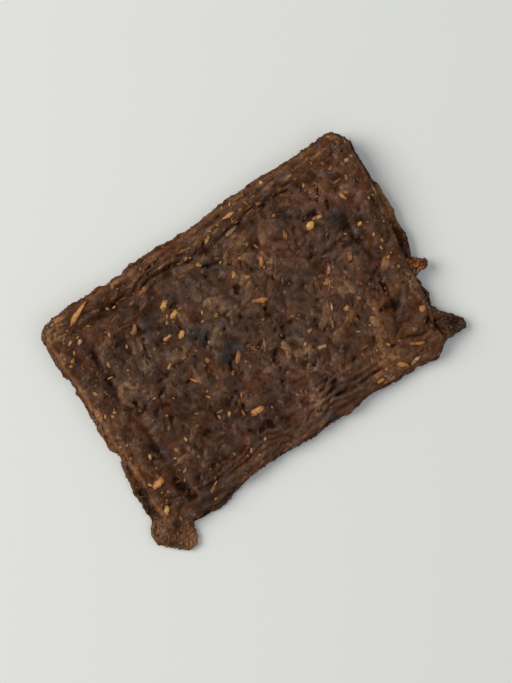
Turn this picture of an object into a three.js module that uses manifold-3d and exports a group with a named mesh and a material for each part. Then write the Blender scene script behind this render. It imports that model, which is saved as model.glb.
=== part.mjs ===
// Ostrich jerky chew: a small slab of minced meat that was pressed flat, cut and dried.
// Sizes are in millimetres. X runs along the long side, Y along the short side and Z is up.
// The slab lies on the flat middle of its underside, at Z = 0.

import * as THREE from 'three';
import { mergeVertices } from 'three/addons/utils/BufferGeometryUtils.js';
import Module from 'manifold-3d';

// The slab's upper edge, from corner to corner. The right end is cut a little askew,
// so the back side is longer than the front side.
const leftEnd = -36.8;
const rightEndAtBack = 37.2;
const rightEndAtFront = 31.0;
const backSide = 24.6;
const frontSide = -23.8;

// Thickness of the meat in the middle, and how much lower its very centre has sunk.
const fieldThickness = 4.5;
const centreSink = 0.35;

// Half the length and width of the rectangle that the plan is stretched from.
const halfX = 36;
const halfY = 24.4;

// Corner radii. The back right corner is the bluntest.
const radiusBackRight = 4.6;
const radiusBackLeft = 3.0;
const radiusFrontRight = 2.4;
const radiusFrontLeft = 2.6;

// The raised rim along three sides: how far in its crest lies, its half width and height,
// and how the shoulder outside it is rounded. The front side has no rim: it rolls down.
const leftRim = { inset: 2.6, halfWidth: 3.2, height: 0.55, roundWidth: 1.0, roundDrop: 0.5 };
const rightRim = { inset: 3.4, halfWidth: 3.8, height: 0.65, roundWidth: 1.5, roundDrop: 0.8 };
const backRim = { inset: 2.2, halfWidth: 2.6, height: 0.6, roundWidth: 1.3, roundDrop: 0.6 };
const frontRoll = { inset: 4.0, halfWidth: 4.0, height: 0, roundWidth: 6.0, roundDrop: 1.7 };

// A furrow follows the back rim, with a second, lower ridge inside it.
const backFurrow = { inset: 4.8, halfWidth: 1.4, height: - 0.34 };
const backRidge = { inset: 6.8, halfWidth: 1.7, height: 0.28 };

// A shallow furrow runs inside the rim of each end.
const leftFurrow = { inset: 7.0, halfWidth: 1.9, height: - 0.3 };
const rightFurrow = { inset: 8.2, halfWidth: 2.0, height: - 0.3 };

// Swellings of the lower lip, where the pressed meat was squeezed out under the edge.
const lipReach = 0.35;
const lipSwellings = [
	{ x: - 37, y: - 22.5, radius: 6.5, out: 1.5 },
	{ x: - 37, y: - 14, radius: 11, out: 1.6 },
	{ x: - 37.5, y: - 1, radius: 5, out: 0.45 },
	{ x: 35, y: 5, radius: 10, out: 2.0 },
	{ x: 34.5, y: - 3, radius: 7, out: 1.9 },
	{ x: 32.5, y: - 13, radius: 7, out: 1.0 },
	{ x: 37, y: 15, radius: 9, out: 0.8 },
	{ x: - 10, y: 25, radius: 12, out: 0.4 },
	{ x: - 25, y: - 23.5, radius: 11, out: 1.2 },
	{ x: 22, y: - 24, radius: 8, out: 0.5 }
];

// Torn tags: where the wall was pulled out, which way, over what half width, and how much
// of the pull each ring of the wall follows. The first is the long tag at the front right
// corner, the second a nub on the right end, the others the stub round the front left corner.
const pulls = [
	{ x: 32.4, y: - 20.0, halfWidth: 4.4, dx: 5.9, dy: - 2.8, follow: [ 0.72, 1, 0.9, 0.35 ] },
	{ x: 33.6, y: - 7.0, halfWidth: 2.2, dx: 3.7, dy: - 0.9, follow: [ 0.8, 1, 0.75, 0 ] },
	{ x: - 36.9, y: - 21.6, halfWidth: 2.4, dx: - 1.1, dy: - 0.2, follow: [ 0, 0.5, 1, 0.8 ] },
	{ x: - 36.2, y: - 23.3, halfWidth: 4.0, dx: - 0.5, dy: - 0.8, follow: [ 0, 0.6, 1, 0.9 ] },
	{ x: - 34.4, y: - 23.8, halfWidth: 2.9, dx: 0.4, dy: - 2.7, follow: [ 0.1, 0.6, 1, 0.8 ] }
];

// Drying has curled the right end and the back left corner up off the floor.
const curlRight = 2.1;
const curlBackLeft = 0.9;

// The flat foot of the underside, in cells of its grid: how far in it starts from the left,
// front and back border, and the column where it ends. Outside it every cell rises a little.
const footInset = 3;
const footEnd = 20;
const riseByCell = 0.08;

// Lumps of mince that show all over, coarse and fine.
const coarseLump = 4.6;
const coarseHeight = 0.34;
const fineLump = 2.2;
const fineHeight = 0.34;

// Long fibres run beside the front side, and the cut sides are nicked.
const fibreSpacing = 2.6;
const fibreHeight = 0.28;
const fibreBand = 12;

// Grid of the upper face. The underside has half as many cells each way.
const columns = 64;
const rows = 44;
const edgeCrowding = 0.42;

const chewMaterial = new THREE.MeshStandardMaterial( {
	color: 0x4d372b,
	roughness: 0.62,
	metalness: 0
} );

function clamp01( value ) {

	return Math.min( 1, Math.max( 0, value ) );

}

function smooth( value ) {

	const q = clamp01( value );
	return q * q * ( 3 - 2 * q );

}

// A round hump: 1 in the middle, 0 from a distance of 1 outwards.
function hump( distance ) {

	const rest = Math.max( 0, 1 - distance * distance );
	return rest * rest;

}

// One fixed pseudo-random number from 0 to 1 for each point of a square lattice.
function latticeValue( i, j, seed ) {

	const wave = Math.sin( i * 127.1 + j * 311.7 + seed * 74.7 ) * 43758.5453;
	return wave - Math.floor( wave );

}

// Smooth lumps from -1 to 1, about one lump in every square of the given size.
function lumps( x, y, size, seed ) {

	const gx = x / size;
	const gy = y / size;
	const i = Math.floor( gx );
	const j = Math.floor( gy );
	const fx = smooth( gx - i );
	const fy = smooth( gy - j );
	const low = THREE.MathUtils.lerp( latticeValue( i, j, seed ), latticeValue( i + 1, j, seed ), fx );
	const high = THREE.MathUtils.lerp( latticeValue( i, j + 1, seed ), latticeValue( i + 1, j + 1, seed ), fx );
	return THREE.MathUtils.lerp( low, high, fy ) * 2 - 1;

}

function cornerRadius( s, t ) {

	if ( s > 0 ) return t > 0 ? radiusBackRight : radiusFrontRight;
	return t > 0 ? radiusBackLeft : radiusFrontLeft;

}

// Small waves and nicks of the cut sides, outwards positive. The front side is hollowed
// a little left of its middle.
function sideWave( along, seed ) {

	return 0.32 * lumps( along, seed * 9.3, 8.5, seed ) + 0.28 * lumps( along, seed * 5.1, 2.4, seed + 20 );

}

function nearSide( distance ) {

	const q = clamp01( 1 - distance / 9 );
	return q * q;

}

// Where the grid point s, t (each from -1 to 1) lies on a plain slab with rounded corners.
function plainPlace( s, t ) {

	let px = s * halfX;
	let py = t * halfY;
	const radius = cornerRadius( s, t );
	const qx = Math.abs( px ) - ( halfX - radius );
	const qy = Math.abs( py ) - ( halfY - radius );

	// The squares round each corner's centre are drawn in to circles.
	if ( qx > 0 && qy > 0 ) {

		const shrink = Math.max( qx, qy ) / Math.hypot( qx, qy );
		px = Math.sign( px ) * ( halfX - radius + qx * shrink );
		py = Math.sign( py ) * ( halfY - radius + qy * shrink );

	}

	const across = ( py / halfY + 1 ) / 2;
	const along = ( px / halfX + 1 ) / 2;
	const rightEnd = THREE.MathUtils.lerp( rightEndAtFront, rightEndAtBack, across );
	const x = THREE.MathUtils.lerp( leftEnd, rightEnd, along );
	const y = THREE.MathUtils.lerp( frontSide, backSide, across );
	return { x, y };

}

// The same point on the real slab, whose sides are waved, and how far in it is from each
// of the four sides.
function place( s, t ) {

	let { x, y } = plainPlace( s, t );
	const inLeft = ( s + 1 ) * halfX;
	const inRight = ( 1 - s ) * halfX;
	const inBack = ( 1 - t ) * halfY;
	const inFront = ( t + 1 ) * halfY;
	const hollow = 0.9 * hump( ( x + 14 ) / 15 ) + 0.5 * hump( ( x - 13 ) / 7 ) - 1.0 * hump( ( x - 28 ) / 5 );
	const shiftX = sideWave( y, 3 ) * nearSide( inRight ) - sideWave( y, 1 ) * nearSide( inLeft );
	const shiftY = sideWave( x, 2 ) * nearSide( inBack ) + ( hollow - sideWave( x, 4 ) ) * nearSide( inFront );
	x += shiftX;
	y += shiftY;
	return { x, y, inLeft, inRight, inBack, inFront };

}

// How far the slab has curled up off the floor.
function curl( x, y ) {

	const right = clamp01( ( x - 12 ) / 26 );
	const left = clamp01( ( - x - 22 ) / 14 );
	const back = clamp01( ( y - 8 ) / 16 );
	const rightLift = right * right * ( 0.15 + 0.85 * smooth( ( y + 24 ) / 36 ) );
	return curlRight * rightLift + curlBackLeft * left * left * back * back;

}

function ridge( shape, distance ) {

	return shape.height * hump( ( distance - shape.inset ) / shape.halfWidth );

}

// The rim and the rounded shoulder outside it. Towards a corner the shapes of the two sides
// blend, and the rim follows the corner round.
function edgeProfile( p ) {

	const distances = [ p.inLeft, p.inRight, p.inBack, p.inFront ];
	const shapes = [ leftRim, rightRim, backRim, frontRoll ];
	const nearest = Math.min( ...distances );
	const weights = distances.map( ( distance ) => ( distance - nearest + 0.8 ) ** - 3 );
	const total = weights.reduce( ( sum, weight ) => sum + weight, 0 );

	function blend( key ) {

		return shapes.reduce( ( sum, shape, k ) => sum + shape[ key ] * weights[ k ], 0 ) / total;

	}

	const uneven = 0.85 + 0.45 * lumps( p.x, p.y, 8.5, 12 );
	const crest = blend( 'height' ) * uneven * hump( ( nearest - blend( 'inset' ) ) / blend( 'halfWidth' ) );
	return crest - shoulder( nearest, blend( 'roundWidth' ), blend( 'roundDrop' ) );

}

// The drop of a rounded shoulder: a quarter of an ellipse as wide as it is told.
function shoulder( distance, width, drop ) {

	const q = clamp01( 1 - distance / width );
	return drop * ( 1 - Math.sqrt( 1 - q * q ) );

}

// Height of the upper face.
function topHeight( p ) {

	const s = p.x / halfX;
	const t = p.y / halfY;
	const sunk = centreSink * ( 1 - clamp01( s * s ) ) * ( 1 - clamp01( t * t ) );
	const open = smooth( ( p.inLeft - 4 ) / 4 ) * smooth( ( p.inRight - 5 ) / 4 );
	const strip = ( ridge( backFurrow, p.inBack ) + ridge( backRidge, p.inBack ) ) * open;
	const between = smooth( ( p.inBack - 4 ) / 4 ) * smooth( ( p.inFront - 3 ) / 4 );
	const ends = ( ridge( leftFurrow, p.inLeft ) + ridge( rightFurrow, p.inRight ) ) * between;
	const cornerLump = 0.75 * hump( Math.hypot( p.x - 31.5, p.y - 17 ) / 8.5 );
	const fold = 0.5 * hump( ( p.inFront - 7.5 - 0.25 * ( 31 - p.x ) ) / 2.2 ) * smooth( ( p.x - 20 ) / 8 );
	const sway = 0.25 * lumps( p.x, p.y, 15, 7 );
	const strand = p.inFront + 1.1 * lumps( p.x, p.y, 9, 8 );
	const fibres = fibreHeight * Math.cos( strand / fibreSpacing * Math.PI * 2 ) * hump( p.inFront / fibreBand );
	const mince = coarseHeight * lumps( p.x, p.y, coarseLump, 5 ) + fineHeight * lumps( p.x, p.y, fineLump, 6 );
	return fieldThickness - sunk + edgeProfile( p ) + strip + ends + cornerLump + fold + fibres + sway
		+ mince + curl( p.x, p.y );

}

// Height of the lower end of the wall, a little above the underside.
function wallFoot( x, y ) {

	return curl( x, y ) + 0.35;

}

// How far the lower lip reaches out past the upper edge.
function lowerLip( x, y ) {

	let reach = lipReach;
	for ( const swelling of lipSwellings ) {

		reach += swelling.out * hump( Math.hypot( x - swelling.x, y - swelling.y ) / swelling.radius );

	}

	return reach;

}

// How far a ring of the wall is pulled out near one place of the upper edge: all the way over
// the middle third of the pull, then falling off in a hollow curve.
function pulledOut( x, y, ring ) {

	const shift = { x: 0, y: 0 };
	for ( const pull of pulls ) {

		const distance = Math.hypot( x - pull.x, y - pull.y ) / pull.halfWidth;
		const amount = ( 1 - clamp01( ( distance - 0.3 ) / 0.7 ) ) ** 1.7 * pull.follow[ ring ];
		shift.x += pull.dx * amount;
		shift.y += pull.dy * amount;

	}

	return shift;

}

// Grid lines crowd a little towards both ends.
function gridLine( index, count ) {

	const even = index / count * 2 - 1;
	return THREE.MathUtils.lerp( even, Math.sin( even * Math.PI / 2 ), edgeCrowding );

}

// The cells round the border of a grid, anticlockwise from the front left corner.
function borderCells( across, deep ) {

	const cells = [];
	for ( let i = 0; i < across; i ++ ) cells.push( [ i, 0 ] );
	for ( let j = 0; j < deep; j ++ ) cells.push( [ across, j ] );
	for ( let i = across; i > 0; i -- ) cells.push( [ i, deep ] );
	for ( let j = deep; j > 0; j -- ) cells.push( [ 0, j ] );
	return cells;

}

// The slab as one closed skin: upper face, a wall with two lips and a groove, underside.
function slabGeometry() {

	const positions = [];
	const faces = [];

	function addPoint( x, y, z ) {

		positions.push( x, y, z );
		return positions.length / 3 - 1;

	}

	const topIndex = [];
	const topPlace = [];
	for ( let j = 0; j <= rows; j ++ ) {

		for ( let i = 0; i <= columns; i ++ ) {

			const p = place( gridLine( i, columns ), gridLine( j, rows ) );
			topPlace.push( p );
			topIndex.push( addPoint( p.x, p.y, topHeight( p ) ) );

		}

	}

	for ( let j = 0; j < rows; j ++ ) {

		for ( let i = 0; i < columns; i ++ ) {

			const a = topIndex[ j * ( columns + 1 ) + i ];
			const b = a + 1;
			const c = a + columns + 2;
			const d = a + columns + 1;
			if ( ( i + j ) % 2 === 0 ) faces.push( a, b, c, a, c, d );
			else faces.push( a, b, d, b, c, d );

		}

	}

	// The upper edge, with the direction that points straight out of it.
	const cells = borderCells( columns, rows );
	const edge = cells.map( ( [ i, j ] ) => topPlace[ j * ( columns + 1 ) + i ] );
	let upper = cells.map( ( [ i, j ] ) => topIndex[ j * ( columns + 1 ) + i ] );
	const count = edge.length;
	const outward = edge.map( ( p, k ) => {

		const before = edge[ ( k + count - 2 ) % count ];
		const after = edge[ ( k + 2 ) % count ];
		const length = Math.hypot( after.x - before.x, after.y - before.y );
		return { x: ( after.y - before.y ) / length, y: ( before.x - after.x ) / length };

	} );

	// Rings of the wall, from the upper lip down: reach out of the edge and share of the height.
	const rings = [
		{ reach: () => 0.2, level: 0.84, seed: 31 },
		{ reach: ( lip ) => - 0.7 + 0.35 * lip, level: 0.55, seed: 32 },
		{ reach: ( lip ) => lip, level: 0.27, seed: 33 },
		{ reach: ( lip ) => lip - 0.6, level: 0, seed: 34 }
	];

	rings.forEach( ( ring, number ) => {

		const lower = edge.map( ( p, k ) => {

			const lip = lowerLip( p.x, p.y );
			const rough = 0.32 * lumps( p.x * 1.3, p.y * 1.3 + ring.seed, 2.6, ring.seed );
			const reach = ring.reach( lip ) + rough;
			const pulled = pulledOut( p.x, p.y, number );
			const x = p.x + outward[ k ].x * reach + pulled.x;
			const y = p.y + outward[ k ].y * reach + pulled.y;
			const high = topHeight( p );
			const low = wallFoot( x, y );
			return addPoint( x, y, THREE.MathUtils.lerp( low, high, ring.level ) );

		} );

		for ( let k = 0; k < count; k ++ ) {

			const next = ( k + 1 ) % count;
			faces.push( upper[ k ], lower[ k ], lower[ next ] );
			faces.push( upper[ k ], lower[ next ], upper[ next ] );

		}

		upper = lower;

	} );

	// The underside has cells twice as large, and its border is stitched to the wall.
	const wide = columns / 2;
	const deep = rows / 2;
	const bottomIndex = [];
	for ( let j = 0; j <= deep; j ++ ) {

		for ( let i = 0; i <= wide; i ++ ) {

			const { x, y } = plainPlace( gridLine( i, wide ) * 0.95, gridLine( j, deep ) * 0.93 );
			const besideX = Math.max( 0, footInset - i, i - footEnd );
			const besideY = Math.max( 0, footInset - j, j - ( deep - footInset ) );
			const cellsOut = Math.hypot( besideX, besideY );
			const lifted = cellsOut > 0 ? curl( x, y ) : 0;
			bottomIndex.push( addPoint( x, y, lifted + riseByCell * cellsOut ) );

		}

	}

	for ( let j = 0; j < deep; j ++ ) {

		for ( let i = 0; i < wide; i ++ ) {

			const a = bottomIndex[ j * ( wide + 1 ) + i ];
			const b = a + 1;
			const c = a + wide + 2;
			const d = a + wide + 1;
			faces.push( a, c, b, a, d, c );

		}

	}

	const inner = borderCells( wide, deep ).map( ( [ i, j ] ) => bottomIndex[ j * ( wide + 1 ) + i ] );
	for ( let k = 0; k < inner.length; k ++ ) {

		const innerNext = inner[ ( k + 1 ) % inner.length ];
		const first = upper[ 2 * k ];
		const middle = upper[ 2 * k + 1 ];
		const last = upper[ ( 2 * k + 2 ) % count ];
		faces.push( first, inner[ k ], middle );
		faces.push( middle, inner[ k ], innerNext );
		faces.push( middle, innerNext, last );

	}

	const geometry = new THREE.BufferGeometry();
	geometry.setAttribute( 'position', new THREE.Float32BufferAttribute( positions, 3 ) );
	geometry.setIndex( faces );
	return geometry;

}

// A hard fleck lying in the surface: a stretched twenty-sided grain.
function fleckGeometry( fleck ) {

	const grain = mergeVertices( bare( new THREE.IcosahedronGeometry( 0.5, 0 ) ), 1e-4 );
	grain.scale( fleck.length, fleck.width, fleck.width * 0.8 );
	grain.rotateZ( THREE.MathUtils.degToRad( fleck.turn ) );
	grain.translate( fleck.x, fleck.y, surfaceHeight( fleck.x, fleck.y ) + fleck.width * 0.12 );
	return grain;

}

function bare( geometry ) {

	geometry.deleteAttribute( 'normal' );
	geometry.deleteAttribute( 'uv' );
	return geometry;

}

// Height of the upper face at any point: the inverse of place(), found by steps.
function surfaceHeight( x, y ) {

	let s = x / halfX;
	let t = y / halfY;
	let p = place( s, t );
	for ( let step = 0; step < 6; step ++ ) {

		s = THREE.MathUtils.clamp( s + ( x - p.x ) / halfX, - 1, 1 );
		t = THREE.MathUtils.clamp( t + ( y - p.y ) / halfY, - 1, 1 );
		p = place( s, t );

	}

	return topHeight( p );

}

// The largest flecks, by what they look like: gristle, straw and seed husk.
const flecks = [
	{ x: - 28.0, y: 22.6, length: 4.6, width: 1.0, turn: 21 },
	{ x: - 12.6, y: 15.1, length: 1.9, width: 1.3, turn: - 20 },
	{ x: - 11.8, y: 12.5, length: 1.7, width: 1.0, turn: 30 },
	{ x: - 13.2, y: 8.1, length: 1.6, width: 1.0, turn: 35 },
	{ x: - 30.9, y: 18.2, length: 1.6, width: 1.1, turn: 0 },
	{ x: 20.9, y: 11.6, length: 2.0, width: 1.6, turn: 10 },
	{ x: - 8.6, y: - 13.7, length: 2.8, width: 1.6, turn: - 9 },
	{ x: 15.4, y: - 4.3, length: 2.3, width: 0.9, turn: 55 },
	{ x: 8.4, y: - 9.6, length: 2.0, width: 1.0, turn: 12 },
	{ x: - 32.7, y: - 13.7, length: 3.0, width: 2.0, turn: 15 },
	{ x: - 34.3, y: - 19.3, length: 2.0, width: 1.4, turn: 70 },
	{ x: - 13.7, y: 19.2, length: 3.1, width: 1.0, turn: - 8 },
	{ x: 23.6, y: 1.9, length: 1.8, width: 1.2, turn: 60 },
	{ x: 29.6, y: 13.0, length: 2.2, width: 1.1, turn: - 50 },
	{ x: 22.9, y: - 22.6, length: 3.6, width: 1.1, turn: 4 }
];

const wasm = await Module();
wasm.setup();

function toManifold( geometry ) {

	return new wasm.Manifold( new wasm.Mesh( {
		numProp: 3,
		vertProperties: new Float32Array( geometry.attributes.position.array ),
		triVerts: new Uint32Array( geometry.index.array )
	} ) );

}

let chew = toManifold( slabGeometry() );
for ( const fleck of flecks ) chew = chew.add( toManifold( fleckGeometry( fleck ) ) );

const mesh = chew.getMesh();
let geometry = new THREE.BufferGeometry();
geometry.setAttribute( 'position', new THREE.Float32BufferAttribute( mesh.vertProperties, 3 ) );
geometry.setIndex( Array.from( mesh.triVerts ) );
geometry = mergeVertices( geometry, 1e-3 );

// The drawing is moved so that the middle of its box stands over the origin.
geometry.computeBoundingBox();
const middle = geometry.boundingBox.getCenter( new THREE.Vector3() );
geometry.translate( - middle.x, - middle.y, - geometry.boundingBox.min.z );
geometry.computeVertexNormals();

const jerkyChew = new THREE.Mesh( geometry, chewMaterial );
jerkyChew.name = 'jerky_chew';

const group = new THREE.Group();
group.name = 'ostrich_jerky_chew';
group.add( jerkyChew );

export default group;
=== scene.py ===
# %% [markdown]
# # Ostrich jerky chew
# A small slab of minced ostrich meat, pressed flat, cut across at both ends and dried until
# it is nearly black. Everything below is worked out in millimetres, in the frame of the CAD
# part: X along the long side, Y along the short side, Z up, the floor at Z = 0.

import math
from functools import reduce

import bpy
import numpy as np
from mathutils import Matrix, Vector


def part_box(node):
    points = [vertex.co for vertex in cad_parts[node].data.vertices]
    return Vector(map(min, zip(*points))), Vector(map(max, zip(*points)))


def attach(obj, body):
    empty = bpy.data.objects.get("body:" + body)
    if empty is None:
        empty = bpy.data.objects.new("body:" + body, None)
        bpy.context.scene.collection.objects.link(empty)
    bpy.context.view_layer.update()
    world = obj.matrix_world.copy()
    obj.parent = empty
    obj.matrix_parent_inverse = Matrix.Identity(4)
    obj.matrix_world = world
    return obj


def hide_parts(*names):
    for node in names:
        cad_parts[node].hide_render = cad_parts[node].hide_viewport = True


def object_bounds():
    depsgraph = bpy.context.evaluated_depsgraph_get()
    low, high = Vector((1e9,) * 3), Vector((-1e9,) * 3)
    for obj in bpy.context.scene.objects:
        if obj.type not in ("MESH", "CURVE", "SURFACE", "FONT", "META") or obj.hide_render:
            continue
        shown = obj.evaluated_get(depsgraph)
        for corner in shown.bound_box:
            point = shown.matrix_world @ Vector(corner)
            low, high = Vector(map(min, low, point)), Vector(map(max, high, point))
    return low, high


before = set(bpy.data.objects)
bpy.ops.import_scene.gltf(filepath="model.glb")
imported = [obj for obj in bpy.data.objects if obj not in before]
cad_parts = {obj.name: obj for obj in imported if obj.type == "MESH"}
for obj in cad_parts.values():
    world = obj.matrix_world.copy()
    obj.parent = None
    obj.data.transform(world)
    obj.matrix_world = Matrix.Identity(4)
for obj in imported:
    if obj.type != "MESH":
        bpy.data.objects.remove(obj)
cad_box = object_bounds()
MM = 0.001
TAU = 2 * math.pi
print("CAD box, mm:", [round(value / MM, 2) for corner in cad_box for value in corner])

# %% [markdown]
# ## Sizes of the slab
# These are the same sizes as in the CAD part, so that the fine model fills the plain one.
# The four sides are kept in the order left, right, back, front. The back and both ends carry
# a raised rim. The front side has none: it rolls down to the floor.

# %% Named sizes
HALF_X, HALF_Y = 36.0, 24.4
LEFT_END, RIGHT_END_AT_BACK, RIGHT_END_AT_FRONT = -36.8, 37.2, 31.0
BACK_SIDE, FRONT_SIDE = 24.6, -23.8
FIELD_THICKNESS, CENTRE_SINK = 4.5, 0.35
CORNER_RADII = {"back right": 4.6, "back left": 3.0, "front right": 2.4, "front left": 2.6}
RIM_INSET = np.array([2.6, 3.4, 2.2, 4.0])
RIM_HALF_WIDTH = np.array([3.2, 3.8, 2.6, 4.0])
RIM_HEIGHT = np.array([0.55, 0.65, 0.6, 0.0])
ROUND_WIDTH = np.array([1.0, 1.5, 1.3, 6.0])
ROUND_DROP = np.array([0.5, 0.8, 0.6, 1.7])
BACK_FURROW = (4.8, 1.4, -0.34)
BACK_RIDGE = (6.8, 1.7, 0.28)
LEFT_FURROW = (7.0, 1.9, -0.3)
RIGHT_FURROW = (8.2, 2.0, -0.3)
CURL_RIGHT, CURL_BACK_LEFT = 2.1, 0.9
COARSE_LUMP, COARSE_HEIGHT = 4.6, 0.34
FINE_LUMP, FINE_HEIGHT = 2.2, 0.34
FIBRE_SPACING, FIBRE_HEIGHT, FIBRE_BAND = 2.6, 0.28, 12.0

# Swellings of the lower lip: x, y, radius, reach outwards.
LIP_REACH = 0.35
LIP_SWELLINGS = [
    (-37, -22.5, 6.5, 1.5),
    (-37, -14, 11, 1.6),
    (-37.5, -1, 5, 0.45),
    (35, 5, 10, 2.0),
    (34.5, -3, 7, 1.9),
    (32.5, -13, 7, 1.0),
    (37, 15, 9, 0.8),
    (-10, 25, 12, 0.4),
    (-25, -23.5, 11, 1.2),
    (22, -24, 8, 0.5),
]

# Torn tags: x, y, half width, pull along x and y, how much each wall ring follows, and how
# tan and how charred the meat is there. The long dark tag at the front right corner, the nub
# on the right end, and the lighter stub in three.
PULLS = [
    (32.4, -20.0, 4.4, 5.9, -2.8, (0.72, 1, 0.9, 0.35), 0.0, 0.12),
    (33.6, -7.0, 2.2, 3.7, -0.9, (0.8, 1, 0.75, 0), 0.12, 0.0),
    (-36.9, -21.6, 2.4, -1.1, -0.2, (0, 0.5, 1, 0.8), 0.45, 0.0),
    (-36.2, -23.3, 4.0, -0.5, -0.8, (0, 0.6, 1, 0.9), 0.45, 0.0),
    (-34.4, -23.8, 2.9, 0.4, -2.7, (0.1, 0.6, 1, 0.8), 0.45, 0.0),
]

# Wall rings: reach out of the upper edge, share of it that follows the lip, height, seed.
WALL_RINGS = [
    (0.2, 0.0, 0.84, 31),
    (-0.7, 0.35, 0.55, 32),
    (0.0, 1.0, 0.27, 33),
    (-0.6, 1.0, 0.0, 34),
]

# The flat foot of the underside, in cells of a grid of 32 by 22: how far in it starts, the
# column where it ends, and how much every cell outside it rises.
FOOT_CELLS = (32, 22)
FOOT_INSET, FOOT_END, RISE_BY_CELL = 3, 20, 0.08

# Low corner of the CAD part's box in the drawing's own millimetres.
LEFTMOST, FRONTMOST = -40.513, -28.683
cad_low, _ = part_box("jerky_chew")
SHIFT = np.array([cad_low.x / MM - LEFTMOST, cad_low.y / MM - FRONTMOST, 0.0])
print("the drawing is moved by, mm:", SHIFT.round(3))

# %% [markdown]
# ## Small tools of form
# A hump, a smooth step, and lumps of a chosen size are enough for the whole slab.
# Lumps come from one fixed pseudo-random value on each point of a lattice, blended smoothly.


# %% Small tools of form
def smooth(value):
    """Smooth step: 3q^2 - 2q^3 of the value held between 0 and 1."""
    q = np.clip(value, 0, 1)
    return q * q * (3 - 2 * q)


def hump(distance):
    """Round hump: (1 - d^2)^2, 1 in the middle and 0 from a distance of 1 outwards."""
    rest = np.maximum(0, 1 - distance * distance)
    return rest * rest


def patches(x, y, rows):
    """Sum of round patches: each row's amount times a hump about its centre x, y."""
    return sum(amount * hump(np.hypot(x - cx, y - cy) / radius) for cx, cy, radius, amount in rows)


def lattice(i, j, seed):
    """One fixed number from 0 to 1 for each lattice point: the fraction of a large sine."""
    wave = np.sin(i * 127.1 + j * 311.7 + seed * 74.7) * 43758.5453
    return wave - np.floor(wave)


def lumps(x, y, size, seed):
    """Lumps from -1 to 1, about one in each square of that size: lattice values blended."""
    gx, gy = x / size, y / size
    i, j = np.floor(gx), np.floor(gy)
    fx, fy = smooth(gx - i), smooth(gy - j)
    low = lattice(i, j, seed) * (1 - fx) + lattice(i + 1, j, seed) * fx
    high = lattice(i, j + 1, seed) * (1 - fx) + lattice(i + 1, j + 1, seed) * fx
    return (low * (1 - fy) + high * fy) * 2 - 1


# %% [markdown]
# ## The slab's plan and heights
# A point of the slab is named by two parameters, `s` and `t`, from -1 to 1 across it. `place`
# says where that point lies seen from above: a rectangle is rounded at its corners, stretched
# to the four real corners, and its sides are waved. The heights then follow from how far in
# the point lies from each side.


# %% Plan
def side_wave(along, seed):
    """Waves and nicks of a cut side, outwards positive: lumps of 8.5 mm and of 2.4 mm."""
    waves = 0.32 * lumps(along, seed * 9.3, 8.5, seed)
    return waves + 0.28 * lumps(along, seed * 5.1, 2.4, seed + 20)


def near_side(distance):
    """How much a point follows its side: (1 - d/9)^2."""
    return np.clip(1 - distance / 9, 0, 1) ** 2


def plain_place(s, t):
    """Place on a plain slab: squares round the corners' centres are drawn in to circles (the
    larger offset over the length), then the rectangle is stretched on to the four corners."""
    radius = np.where(
        s > 0,
        np.where(t > 0, CORNER_RADII["back right"], CORNER_RADII["front right"]),
        np.where(t > 0, CORNER_RADII["back left"], CORNER_RADII["front left"]),
    )
    qx = np.abs(s) * HALF_X - (HALF_X - radius)
    qy = np.abs(t) * HALF_Y - (HALF_Y - radius)
    in_corner = (qx > 0) & (qy > 0)
    shrink = np.where(in_corner, np.maximum(qx, qy) / np.maximum(np.hypot(qx, qy), 1e-9), 1)
    px = np.where(in_corner, np.sign(s) * (HALF_X - radius + qx * shrink), s * HALF_X)
    py = np.where(in_corner, np.sign(t) * (HALF_Y - radius + qy * shrink), t * HALF_Y)
    across, along = (py / HALF_Y + 1) / 2, (px / HALF_X + 1) / 2
    right_end = RIGHT_END_AT_FRONT + (RIGHT_END_AT_BACK - RIGHT_END_AT_FRONT) * across
    x = LEFT_END + (right_end - LEFT_END) * along
    return x, FRONT_SIDE + (BACK_SIDE - FRONT_SIDE) * across


def place(s, t):
    """Place on the real slab, whose sides are waved, and the distances in from the left,
    right, back and front side. The front side is hollowed a little left of its middle."""
    x, y = plain_place(s, t)
    inside = np.stack([(s + 1) * HALF_X, (1 - s) * HALF_X, (1 - t) * HALF_Y, (t + 1) * HALF_Y])
    hollow = 0.9 * hump((x + 14) / 15) + 0.5 * hump((x - 13) / 7) - 1.0 * hump((x - 28) / 5)
    shift_x = side_wave(y, 3) * near_side(inside[1]) - side_wave(y, 1) * near_side(inside[0])
    shift_y = side_wave(x, 2) * near_side(inside[2]) + (hollow - side_wave(x, 4)) * near_side(inside[3])
    return x + shift_x, y + shift_y, inside


# %% Heights
def curl(x, y):
    """Lift off the floor: squares of the way to the right end and to the back left corner."""
    right = np.clip((x - 12) / 26, 0, 1)
    left = np.clip((-x - 22) / 14, 0, 1)
    back = np.clip((y - 8) / 16, 0, 1)
    lift = right * right * (0.15 + 0.85 * smooth((y + 24) / 36))
    return CURL_RIGHT * lift + CURL_BACK_LEFT * left * left * back * back


def ridge(shape, distance):
    """A ridge along a side: its height times a hump about its inset."""
    inset, half_width, height = shape
    return height * hump((distance - inset) / half_width)


def edge_profile(x, y, inside):
    """The rim and the rounded shoulder outside it, as in the CAD part: the four sides' shapes
    are blended by the inverse cube of their distances, and run round the corners."""
    nearest = inside.min(axis=0)
    weights = (inside - nearest + 0.8) ** -3.0
    weights /= weights.sum(axis=0)
    inset, half_width, height, round_width, round_drop = (
        np.tensordot(values, weights, 1)
        for values in (RIM_INSET, RIM_HALF_WIDTH, RIM_HEIGHT, ROUND_WIDTH, ROUND_DROP)
    )
    uneven = 0.85 + 0.45 * lumps(x, y, 8.5, 12)
    crest = height * uneven * hump((nearest - inset) / half_width)
    q = np.clip(1 - nearest / round_width, 0, 1)
    return crest - round_drop * (1 - np.sqrt(1 - q * q))


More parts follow.
